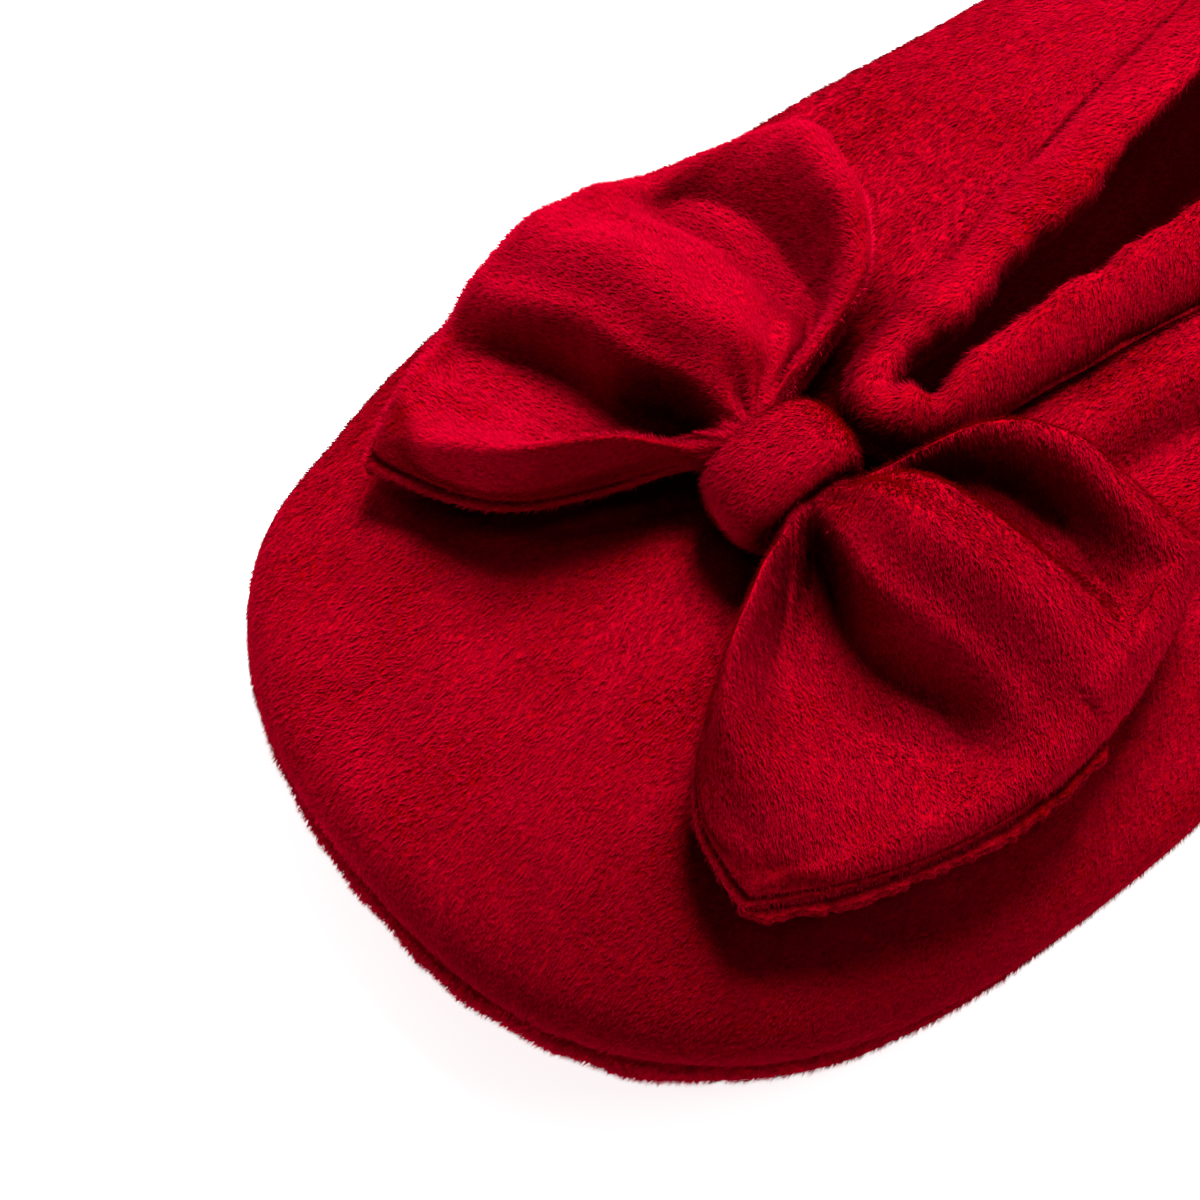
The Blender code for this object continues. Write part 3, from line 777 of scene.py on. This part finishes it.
def pile(name, skin, lie, node_name, keep, sizes, material, painted_shade):
    """Fibres on a skin, each one long thin triangle that leans along the lie direction.

    lie holds one vector for each of the skin's points. keep gives a density and the last argument the
    painted shade of folds and marks, both from 0 to 1. sizes is the pile's row in the table."""
    random = np.random.default_rng(sizes["seed"])
    count = sizes["count"]
    points, normals, corners = read_skin(skin.data)
    a, b, c = (points[corners[:, k]] for k in range(3))
    weight = np.linalg.norm(np.cross(b - a, c - a), axis=1)
    if keep is not None:
        weight = weight * keep[corners].mean(axis=1)
    chosen = random.choice(len(corners), count, p=weight / weight.sum())
    root = np.sqrt(random.random(count))
    second = random.random(count)
    share = np.stack([1 - root, root * (1 - second), root * second], axis=1)

    def blended(values):
        weights = share[..., None] if values.ndim > 1 else share
        return (values[corners[chosen]] * weights).sum(axis=1)

    spot, normal, along = blended(points), unit(blended(normals)), blended(lie)
    along = unit(along - normal * (along * normal).sum(axis=1, keepdims=True))
    across = np.cross(normal, along)
    clump = np.array([noise.noise(Vector(p) / CLUMP_SIZE) for p in spot])
    turn = random.normal(0, TURN_SPREAD, count) + clump * CLUMP_TURN
    heading = along * np.cos(turn)[:, None] + across * np.sin(turn)[:, None]
    sideways = unit(np.cross(normal, heading))
    lean = np.radians(sizes["rise"]) + random.normal(0, RISE_SPREAD, count) + clump * CLUMP_RISE
    lean = np.clip(lean, *RISE_LIMITS)
    reach = sizes["length"] * MM * random.uniform(*LENGTH_SHARES, count)
    way = heading * np.cos(lean)[:, None] + normal * np.sin(lean)[:, None]
    tip = spot + way * reach[:, None]
    width = sizes["width"] * MM * random.uniform(*WIDTH_SHARES, count)
    half = sideways * (width / 2)[:, None]
    foot = spot - normal * ROOT_DEPTH
    triangles = np.stack([foot + half, foot - half, tip], axis=1).reshape(-1, 3)
    blade_normal = unit(np.cross(sideways, tip - spot))
    blade_normal *= np.sign((blade_normal * normal).sum(axis=1, keepdims=True))
    stray = random.normal(0, STRAY_FACING, (count, 3))
    facing = unit(normal + sizes["rough"] * (blade_normal + stray))
    blades = blade_mesh(name, triangles, facing)
    mark(blades, "tip", np.tile([0.0, 0.0, 1.0], count))
    # Painted shade of folds and marks, carried to each fibre
    mark(blades, "painted_shade", np.repeat(blended(painted_shade), 3))
    mark(blades, "shade", np.repeat(random.random(count) * sizes["patchy"], 3))
    blades.materials.append(material)
    found = linked(name, blades)
    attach(found, "root")
    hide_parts(node_name)


# Upper

def seam_distance(rows):
    """Distance of each point from the collar seam, along its own section."""
    steps = np.linalg.norm(np.diff(rows, axis=0), axis=2)
    lengths = np.concatenate([np.zeros((1, rows.shape[1])), np.cumsum(steps, axis=0)])
    return lengths[-1] - lengths


def upper_folds(rows):
    """How far the cloth stands out from the plain upper, in metres."""
    share, side = ring_shares()
    below = seam_distance(rows)
    y = rows[..., 1]
    near = side > 0
    # Long folds of the slumped side, parallel to the collar
    stretch = smooth_step(*FOLDS_START, y) * smooth_step(*FOLDS_END, y) * near
    long_folds = sum(
        fold["height"] * bump(below, fold["below"] * MM, fold["width"] * MM) for fold in LONG_FOLDS
    )
    # Gathers where the elastic draws the cloth in
    part = collar_part(share) / 2
    turns = np.where(near, part, 1 - part)
    gathers = wander(turns, knots=46, seed=3, height=0.40)
    gathers = gathers + wander(turns, knots=90, seed=4, height=0.20)
    gathers = gathers * np.exp(-below / GATHERS_DEPTH) * smooth_step(*GATHERS_START, part)
    # A shallow groove beside the seam and soft unevenness over the padding
    groove = GROOVE_HEIGHT * bump(below, 0.0, GROOVE_WIDTH)
    uneven = mottle(rows, size=22 * MM, seed=1, height=0.40)
    uneven = uneven + mottle(rows, size=8 * MM, seed=2, height=0.08)
    height = np.linspace(0, 1, len(rows))[:, None]
    # The padding bulges over the sole's rim, but not on the far side under the bow
    puff = PUFF["height"] * bump(height, PUFF["row"], PUFF["width"]) * smooth_step(*PUFF_END, y)
    puff = puff * np.where(near, 1.0, smooth_step(*FAR_PUFF_END, y))
    held = smooth_step(*HELD_ROWS, height)
    return (long_folds * stretch + gathers + groove + uneven + puff) * held * MM


def make_upper(materials):
    """The upper's cloth and lining in one closed skin; also gives its plain rows and normals."""
    rows = upper_rows(UPPER_STEPS)
    normals = grid_normals(rows)
    inner_rows = upper_rows(LINING_STEPS)
    inner = inner_rows - grid_normals(inner_rows) * WALL
    outer = rows + normals * upper_folds(rows)[..., None]
    points = np.concatenate([outer, inner[::-1]])
    faces = shell_faces(len(points), RING_STEPS, closed=True)
    upper = piece("upper_skin", points, faces, materials["skin"], "upper")
    upper.data.materials.append(materials["lining"])
    lining = np.zeros(len(faces), np.int32)
    lining[len(outer) * RING_STEPS : (len(points) - 1) * RING_STEPS] = 1
    upper.data.polygons.foreach_set("material_index", lining)

    flat = points.reshape(-1, 3)
    is_outer = np.arange(len(flat)) < len(outer) * RING_STEPS
    lie = np.tile(UPPER_NAP, (len(flat), 1))
    lie[:, 0] += mottle(flat, size=24 * MM, seed=5, height=0.6)
    y = flat[:, 1]
    dense = np.where(y < SPARSE_FROM, 1.0, SPARSE_DENSITY)
    # Painted shade over the toe's +X corner, which faces away from the key light: its cloth and pile are
    # darkened
    corner = TOE_SHADE_WAY[0] * flat[:, 0] + TOE_SHADE_WAY[1] * y
    mark(upper.data, "painted_shade_marks", TOE_SHADE * is_outer * smooth_step(*TOE_SHADE_START, corner))
    coat("vamp_pile", upper, lie, "upper", is_outer * smooth_step(*PILES_MEET[::-1], y))
    coat("quarter_pile", upper, lie, "upper", is_outer * smooth_step(*PILES_MEET, y) * dense)
    return upper, rows, normals


# Collar casing

def make_casing(materials, rows, normals):
    """The folded tube round the collar, bunched by its elastic."""
    share, side = ring_shares()
    part = collar_part(share)
    row = curves(CASING_SECTIONS, "collar", part)
    edge, normal = rows[-1], normals[-1]
    along = unit(edge - rows[-1 - EDGE_STEPS])
    upright = row["upright"][:, None]
    onward = unit(along * (1 - upright) + np.array([0, 0, 1.0]) * upright)
    across = unit(normal - onward * (normal * onward).sum(axis=1, keepdims=True))
    half = row["width"] * CASING_WIDTH / 2
    turned = (onward * along).sum(axis=1)
    reach = np.hypot(half * turned, CASING_THICKNESS / 2 * np.sqrt(np.clip(1 - turned**2, 0, 1)))
    centre = edge - normal * (WALL / 2) + onward * ((reach + GAP) / turned)[:, None]

    turns = np.where(side > 0, part / 2, 1 - part / 2)
    angle = 2 * np.pi * np.arange(CASING_STEPS) / CASING_STEPS
    out, up = np.cos(angle), np.sin(angle)
    top = smooth_step(*RUFFLE_TOP, up)[None, :]
    ruffle = wander(turns, knots=88, seed=8, height=1.2) + wander(turns, knots=170, seed=9, height=0.4)
    wave = wander(turns, knots=30, seed=10)[:, None]
    swell = ruffle[:, None] * (RUFFLE_BELOW + (1 - RUFFLE_BELOW) * top) * MM
    width = half[:, None] + swell * RUFFLE_UP + wave * top * WAVE_UP
    depth = CASING_THICKNESS / 2 * (CASING_FULLNESS + WAVE_OUT * wave) + swell * RUFFLE_OUT
    points = (
        centre[:, None, :]
        + across[:, None, :] * (out * depth)[..., None]
        + onward[:, None, :] * (up * width)[..., None]
    )
    faces = shell_faces(RING_STEPS, CASING_STEPS, closed=True)[:, ::-1]
    casing = piece("collar_casing_skin", points, faces, materials["skin"], "collar_casing")
    run = unit(np.roll(centre, -1, axis=0) - np.roll(centre, 1, axis=0)) * -side[:, None]
    lie = np.repeat(run * CASING_NAP_ALONG - onward * CASING_NAP_DOWN, CASING_STEPS, axis=0)
    coat("casing_pile", casing, lie, "collar_casing")
    return casing


# Bow

NO_SUPPORT = 10.0


def depth_below(tree, point, up):
    """How far under a point the highest face lies, and far off where there is none."""
    distance = tree.ray_cast(point + up, -up)[3]
    return (NO_SUPPORT if distance is None else distance) - 1.0


def bow_frame(upper_node):
    """The bow's seat on the solid upper, its forward and its upward direction."""
    forward = Vector((0, -math.cos(BOW_TILT), -math.sin(BOW_TILT)))
    up = Vector((0, -math.sin(BOW_TILT), math.cos(BOW_TILT)))
    over = Vector((0, (BOW_SHARE - 0.5) * SOLE_LENGTH, THROAT_HEIGHT))
    return over - up * depth_below(joined_tree([upper_node]), over, up), forward, up


def fold_height(across, folds):
    """Height of the cloth's middle on half waves between the folds, shaped (out, across)."""
    names, places = list(FOLD_PLACES), np.array(list(FOLD_PLACES.values()))
    low = np.clip(np.searchsorted(places, across, side="right") - 1, 0, len(places) - 2)
    turn = (1 - np.cos(np.pi * (across - places[low]) / (places[low + 1] - places[low]))) / 2
    heights = np.stack([folds[name] for name in names], axis=1)
    line = np.arange(len(heights))[:, None]
    return heights[line, low] + (heights[line, low + 1] - heights[line, low]) * turn


def edge_ridge(edge, reach, sizes):
    """A rounded ridge along an edge, which starts some way from the knot."""
    ridge = sizes["height"] * bump(edge, sizes["inset"], sizes["width"])
    return ridge * smooth_step(*sizes["start"], reach)


def bow_details(x, across, edge):
    """Pleats by the knot, dents, hem and rolled rear edge of the upper face, in metres."""
    reach = np.abs(x)
    fade = np.exp(-np.clip(reach - PLEATS_START[1], 0, None) / PLEATS_FADE)
    found = sum(
        pleat["height"] * np.cos(2 * np.pi * (pleat["waves"] * across + pleat["shift"]))
        for pleat in PLEATS
    )
    found = found * smooth_step(*PLEATS_START, reach) * fade
    for dent in DENTS:
        round_it = bump(x, dent["x"], dent["length"]) * bump(across, dent["across"], dent["width"])
        found = found + dent["height"] * round_it
    found = found + edge_ridge(edge, reach, HEM) * (across < 0)
    found = found + edge_ridge(edge, reach, ROLL) * (across > ROLL_ACROSS)
    return found * MM


def wing_level(out, across, row):
    """Height of the wings' middle over the seat, before they rest on anything."""
    # The -X wing's folds run right to its edge
    folds = curves(BOW_FOLDS, "out", np.abs(out) * np.where(out < 0, FAR_FOLDS_STRETCH, 1.0))
    # Further out the folds swing forward on the -X wing and back on the other
    back = SWING_BACK["by"] * smooth_step(*SWING_BACK["out"], out)
    back = back[:, None] * smooth_step(*SWING_BACK["across"], across)[None, :]
    ahead = sum(swing["by"] * smooth_step(*swing["out"], -out) for swing in SWINGS_AHEAD)
    swing = (back - ahead[:, None]) * (1 - across**2)[None, :]
    level = KNOT_HEIGHT / 2 + GAP + fold_height(across[None, :] - swing, folds) * BOW_RIDGE
    level = level - row["drop"][:, None] * BOW_DROP
    # Behind its ridge the -X wing sinks in a wide hollow and rises again to the rear edge
    hollowed = smooth_step(*FAR_START, -out) * smooth_step(*FAR_END, -out)
    sunk = FAR_HOLLOW["depth"] * bump(across, FAR_HOLLOW["across"], FAR_HOLLOW["width"])
    sunk = sunk - FAR_RISE["height"] * smooth_step(*FAR_RISE["across"], across)
    return level - hollowed[:, None] * sunk[None, :] * MM


def sheet_faces(n, m):
    """Faces of an upper and an under sheet, n by m points each, that share their border."""
    top = np.arange(n * m).reshape(n, m)
    bottom = top.copy()
    bottom[1:-1, 1:-1] = n * m + np.arange((n - 2) * (m - 2)).reshape(n - 2, m - 2)
    quads = []
    for index, turn in ((top, 1), (bottom, -1)):
        corners = np.stack([index[:-1, :-1], index[1:, :-1], index[1:, 1:], index[:-1, 1:]], axis=-1)
        quads.append(corners.reshape(-1, 4)[:, ::turn])
    return np.concatenate(quads)


def sheets(top, bottom):
    """Values of the upper sheet's points, then of the under sheet's without the border."""
    under = bottom[1:-1, 1:-1]
    return np.concatenate([found.reshape(-1, *top.shape[2:]) for found in (top, under)])


def make_wings(materials, support, seat, forward, up):
    """Both wings in one padded skin, pinched where the knot goes round them."""
    t = np.linspace(-1, 1, WING_STEPS + 1)
    out = t * (1 + WING_ENDS_CLOSER) - WING_ENDS_CLOSER * t**3
    across = np.sin(np.pi / 2 * np.linspace(-1, 1, WING_ACROSS_STEPS + 1))
    far_out = np.abs(out)
    row = curves(BOW_OUTLINE, "out", far_out)
    front = row["front"] * (1 - FAR_FRONT["by"] * bump(out, FAR_FRONT["out"], FAR_FRONT["width"]))
    half = BOW_LENGTH / 2 * np.where(across[None, :] < 0, front[:, None], row["rear"][:, None])
    corner = BOW_CORNER_SHARE * across[None, :] ** 2 * far_out[:, None]
    x = out[:, None] * BOW_SPAN / 2 * (1 - corner)
    # The front lip thins out towards its corner
    thin = smooth_step(*LIP_TAPER["out"], far_out)[:, None] * bump(across, -1.0, LIP_TAPER["width"])
    body = row["body"][:, None] * BOW_THICKNESS / 2 * (1 - LIP_TAPER["by"] * thin)
    edge = np.minimum((1 - np.abs(across)) * half, (1 - far_out)[:, None] * BOW_SPAN / 2)
    depth = body * np.sqrt(1 - np.clip(1 - edge / body, 0, 1) ** 2)

    over = Vector(up)
    seat, forward, up = (np.array(v) for v in (seat, forward, up))
    spot = seat + forward * (-across[None, :] * half)[..., None]
    spot = spot + np.array([1.0, 0, 0]) * x[..., None]
    floor = np.array([[GAP - depth_below(support, Vector(p), over) for p in line] for line in spot])
    level = np.maximum(wing_level(out, across, row), floor + depth)
    inside = smooth_step(0.0, WING_SOFT_EDGE, edge)
    upper = level + depth + bow_details(x, across[None, :], edge) * inside
    soft = mottle(spot, size=12 * MM, seed=6, height=0.6) + mottle(spot, size=5 * MM, seed=7, height=0.12)
    upper = np.maximum(upper + soft * inside * MM, level - depth + WING_LEAST * inside)
    # Two sewn lines pull in along the front edge
    lines = sum(line["pull"] * bump(depth, line["depth"], line["width"]) for line in SEWN_LINES)
    seam = lines * (across < 0)[None, :] * smooth_step(*SEWN_START, far_out)[:, None]
    spot = spot - forward * (SEWN_PULL * seam)[..., None]
    points = sheets(spot + up * upper[..., None], spot + up * (level - depth)[..., None])
    faces = sheet_faces(*x.shape)
    wings = piece("bow_wings_skin", points, faces, materials["skin"], "bow_wings")

    # Painted shade in the grooves of the sewn lines, and less pile on them
    painted_shade_marks = SEAM_SHADE * np.clip(seam, 0, 1)
    mark(wings.data, "painted_shade_marks", sheets(painted_shade_marks, painted_shade_marks))
    furred = 1 - np.clip(SEAM_BARE * seam, 0, 1)
    lie = np.tile(WING_NAP, (len(points), 1))
    lie[:, 0] *= np.sign(sheets(x, x))
    coat("bow_pile", wings, lie, "bow_wings", sheets(furred, UNDER_WING_DENSITY * furred))
    return wings


def make_under_edge(materials, wings):
    """The tube's under layer: its cut edge shows beyond the +X wing and is drawn in at the other."""
    n, m = WING_STEPS + 1, WING_ACROSS_STEPS + 1
    points = np.array([v.co for v in wings.data.vertices])
    border = points[: n * m].reshape(n, m, 3)
    count = UNDER_EDGE_STEPS
    down = np.array([0, 0, -1.0])
    share = np.linspace(0, 1, count)
    show = smooth_step(*LAYER_START, share) * smooth_step(*LAYER_END, share)
    rings, faces, lies = [], [], []
    for end, turn, shown in ((0, -1, FAR_LAYER), (n - 1, 1, NEAR_LAYER)):
        line = evenly(border[end], np.linspace(0.0, LAYER_SPAN, count))
        run = unit(np.gradient(line, axis=0))
        outward = np.tile([float(turn), 0.0, 0.0], (count, 1))
        out = unit(outward - run * (outward * run).sum(axis=1, keepdims=True))
        ragged = wander(share, knots=26, seed=61 + turn, height=0.35)
        ragged = 1.0 + ragged + wander(share, knots=60, seed=63 + turn, height=0.25)
        reach = (LAYER_LEAST + LAYER_SHOWN * show * ragged) * shown
        lower = (LAYER_DOWN + wander(share, knots=18, seed=65, height=0.3)) * MM
        inner = line - out * LAYER_INNER + down * LAYER_INNER_DOWN
        outer = line + out * reach[:, None] + down * lower[:, None]
        thick = down * LAYER_THICKNESS
        rings.append(np.stack([inner, outer, outer + thick * LAYER_THIN, inner + thick], axis=1))
        ends = [[3, 2, 1, 0], [(count - 1) * 4 + k for k in range(4)]]
        quads = np.concatenate([shell_faces(count, 4, closed=False), ends])
        quads = quads + len(faces) * count * 4
        faces.append(quads if turn < 0 else quads[:, ::-1])
        lies.append(np.tile([turn * LAYER_NAP[0], *LAYER_NAP[1:]], (count * 4, 1)))
    layer_edge = piece("bow_under_edge", np.concatenate(rings), np.concatenate(faces),
                       materials["skin"], "bow_wings", smooth=False)
    coat("under_edge_pile", layer_edge, np.concatenate(lies), "bow_wings")


def squared(values, power):
    """A circle's cosines or sines, bent towards a box's sides."""
    return np.sign(values) * np.abs(values) ** power


def make_knot(materials, seat, forward, up, around=160, sides=36):
    """The velour band round the bow's waist, soft and slightly pleated."""
    seat, forward, up = (np.array(v) for v in (seat, forward, up))
    centre = seat + up * (KNOT_HEIGHT / 2 + GAP)
    angle = 2 * np.pi * np.arange(around) / around
    ahead, above = squared(np.cos(angle), KNOT_ROUND), squared(np.sin(angle), KNOT_ROUND)
    turn = 2 * np.pi * np.arange(sides) / sides
    sideways = squared(np.cos(turn), KNOT_SIDE_ROUND) * KNOT_WIDTH / 2 * KNOT_SLIM
    outward = (np.sin(turn) - 1) * KNOT_BAND / 2
    crown = -KNOT_CROWN * (np.abs(np.cos(turn)) ** 3)
    drift = wander(angle / (2 * np.pi), knots=7, seed=14)[:, None] * np.cos(turn / 2)[None, :]
    radial = outward[None, :] + crown[None, :] + drift * KNOT_DRIFT
    points = (
        centre
        + forward * (ahead[:, None] * (KNOT_LENGTH / 2 + radial))[..., None]
        + up * (above[:, None] * (KNOT_HEIGHT / 2 + radial))[..., None]
        + np.array([1.0, 0, 0]) * np.broadcast_to(sideways, radial.shape)[..., None]
    )
    faces = shell_faces(around, sides, closed=True)[:, ::-1]
    knot = piece("bow_knot_skin", points, faces, materials["skin"], "bow_knot")
    coat("knot_pile", knot, np.tile(forward, (around * sides, 1)), "bow_knot")


# Sole

def layer(profile, count=360):
    """Rings of the sole's outline, each at (inset, height) and lifted as the sole is."""
    ring = foot_ring(count)
    flat = ring[:, :2]
    along = np.roll(flat, -1, axis=0) - np.roll(flat, 1, axis=0)
    outward = unit(np.stack([along[:, 1], -along[:, 0]], axis=1))
    under = lift(flat[:, 1])
    return np.array([
        np.column_stack([flat - outward * inset, under + height]) for inset, height in profile
    ])


def cap(first, count, upward):
    """Quads across a symmetrical ring of points, toe to heel."""
    half = count // 2
    faces = [(first, first + 1, first + count - 1)]
    for i in range(1, half - 1):
        faces.append((first + i, first + i + 1, first + count - i - 1, first + count - i))
    faces.append((first + half - 1, first + half, first + half + 1))
    return faces if upward else [face[::-1] for face in faces]


def layer_piece(name, rows, material, node_name):
    """A sole layer from its rings, with a cap at both ends."""
    count = rows.shape[1]
    faces = [tuple(f) for f in shell_faces(len(rows), count, closed=False)]
    faces += cap(0, count, upward=False) + cap((len(rows) - 1) * count, count, upward=True)
    return piece(name, rows, faces, material, node_name)


def make_sole(materials):
    """The wrapped sole with its furry rim, the insole and the grip sheet with its dots."""
    base = OUTSOLE_THICKNESS + GAP
    radius = WRAP_THICKNESS / 2
    profile = [
        (-RIM_SHOWN + radius * (1 - math.cos(a)), base + radius * (1 + math.sin(a)))
        for a in np.linspace(-np.pi / 2, np.pi / 2, WRAP_STEPS + 1)
    ]
    rows = layer(profile)
    uneven = mottle(rows[1:-1], size=5 * MM, seed=9, height=0.4) * MM
    rows[1:-1] += unit(rows[1:-1] - rows.mean(axis=0)) * uneven[..., None]
    wrap = layer_piece("sole_wrap_skin", rows, materials["skin"], "sole_wrap")
    lie = np.tile(RIM_NAP, (rows.shape[0] * rows.shape[1], 1))
    lie[:, :2] += unit(rows.reshape(-1, 3)[:, :2]) * RIM_NAP_OUT
    coat("rim_pile", wrap, lie, "sole_wrap", rim_only(rows))

    edge, top = WALL + 2 * GAP, SEAT + INSOLE_THICKNESS
    bevel = INSOLE_THICKNESS / 3
    profile = [
        (edge, SEAT),
        (edge, top - bevel),
        (edge + bevel * 0.3, top - bevel * 0.3),
        (edge + bevel, top),
        (edge + INSOLE_DIP, top - INSOLE_DIP_DEPTH),
        (edge + 2 * INSOLE_DIP, top),
    ]
    insole = layer_piece("insole_pad", layer(profile), materials["lining"], "insole")

    edge, chamfer = OUTSOLE_INSET - RIM_PROUD, OUTSOLE_THICKNESS / 3
    # The sheet stays above the dots' feet
    profile = [
        (edge + chamfer, SHEET_LOW),
        (edge, chamfer + SHEET_LOW_EDGE),
        (edge, OUTSOLE_THICKNESS),
    ]
    layer_piece("outsole_sheet", layer(profile), materials["grip"], "outsole")
    grip_dots(materials)
    return wrap, insole


def rim_only(rows):
    """1 on the half round edge of the wrapped sole, 0 on its lowest two rings and its top one."""
    keep = np.zeros(rows.shape[:2])
    keep[2:-1] = 1.0
    return keep.ravel()


def grip_dots(materials):
    """Low rubber dots under the sole, in staggered rows."""
    sides = DOT_SIDES
    points, faces = [], []
    for line in range(-DOT_ROWS, DOT_ROWS + 1):
        y = line * DOT_SPACING * DOT_ROW_SHARE
        reach = float(sole_half_width(np.array([y / SOLE_LENGTH + 0.5]))[0]) - DOT_MARGIN
        floor = float(lift(np.array([y]))[0])
        for place_across in range(-DOTS_ACROSS, DOTS_ACROSS + 1):
            x = (place_across + 0.5 * (line % 2)) * DOT_SPACING
            if abs(x) > reach:
                continue
            first = len(points)
            for share, height in DOT_RINGS:
                for s in range(sides):
                    a = 2 * math.pi * s / sides
                    r = DOT_RADIUS * share
                    points.append((x + r * math.cos(a), y + r * math.sin(a), floor + height))
            for low in (first, first + sides):
                for s in range(sides):
                    n = (s + 1) % sides
                    faces.append((low + s, low + sides + s, low + sides + n, low + n))
            faces.append(tuple(first + s for s in range(sides)))
            faces.append(tuple(first + 2 * sides + s for s in range(sides - 1, -1, -1)))
    piece("grip_dots", points, faces, materials["grip"], "outsole")


# Studio

def direction(azimuth, elevation):
    """Unit vector from the slipper towards that azimuth and elevation, in degrees."""
    a, e = math.radians(azimuth), math.radians(elevation)
    return Vector((math.sin(a) * math.cos(e), -math.cos(a) * math.cos(e), math.sin(e)))


def add_camera():
    """The photograph's camera."""
    data = bpy.data.cameras.new("camera")
    data.lens = CAMERA_LENS
    data.sensor_width = 36.0
    data.clip_start, data.clip_end = 0.01, 20.0
    camera = linked("camera", data)
    back = direction(CAMERA_AZIMUTH, CAMERA_ELEVATION)
    flat = math.radians(CAMERA_AZIMUTH)
    right = Vector((math.cos(flat), math.sin(flat), 0))
    up = back.cross(right)
    roll = math.radians(CAMERA_ROLL)
    rolled_right = right * math.cos(roll) + up * math.sin(roll)
    rolled_up = up * math.cos(roll) - right * math.sin(roll)
    turn = Matrix((rolled_right, rolled_up, back)).transposed().to_4x4()
    camera.matrix_world = Matrix.Translation(Vector(CAMERA_TARGET) + back * CAMERA_DISTANCE) @ turn
    bpy.context.scene.camera = camera


def add_area(name, azimuth, elevation, distance, size, power):
    """A square light that faces the slipper."""
    data = bpy.data.lights.new(name, "AREA")
    data.size = size
    data.energy = power
    light = linked(name, data)
    towards = direction(azimuth, elevation)
    light.location = Vector(LIGHT_AIM) + towards * distance
    light.rotation_euler = towards.to_track_quat("Z", "Y").to_euler()


def add_studio(materials):
    """World, lights and floor."""
    scene = bpy.context.scene
    scene.view_settings.view_transform = "Standard"
    world = bpy.data.worlds.new("studio")
    world.use_nodes = True
    background = world.node_tree.nodes["Background"]
    background.inputs["Color"].default_value = WORLD_COLOUR
    background.inputs["Strength"].default_value = WORLD_STRENGTH
    scene.world = world
    for light in LIGHTS:
        add_area(**light)
    mesh = bpy.data.meshes.new("floor")
    corners = [(x * FLOOR_REACH, y * FLOOR_REACH, 0) for x, y in ((-1, -1), (1, -1), (1, 1), (-1, 1))]
    mesh.from_pydata(corners, [], [(0, 1, 2, 3)])
    mesh.materials.append(materials["floor"])
    floor = linked("floor", mesh)


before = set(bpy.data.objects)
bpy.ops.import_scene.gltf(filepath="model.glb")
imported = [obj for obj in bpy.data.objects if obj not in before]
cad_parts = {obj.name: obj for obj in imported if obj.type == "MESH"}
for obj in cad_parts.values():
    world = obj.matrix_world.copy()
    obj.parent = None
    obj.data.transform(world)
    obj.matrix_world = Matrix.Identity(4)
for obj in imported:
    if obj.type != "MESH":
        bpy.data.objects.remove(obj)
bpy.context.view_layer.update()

materials = {
    "skin": skin_material(),
    "pile": pile_material(),
    "lining": lining_material(),
    "grip": grip_material(),
    "floor": floor_material(),
}
add_camera()
add_studio(materials)

wrap, insole = make_sole(materials)
upper, rows, normals = make_upper(materials)
casing = make_casing(materials, rows, normals)
seat, forward, up = bow_frame(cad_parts["upper"])
support = joined_tree([upper, casing])
wings = make_wings(materials, support, seat, forward, up)
make_under_edge(materials, wings)
make_knot(materials, seat, forward, up)
grow_coats(materials["pile"])
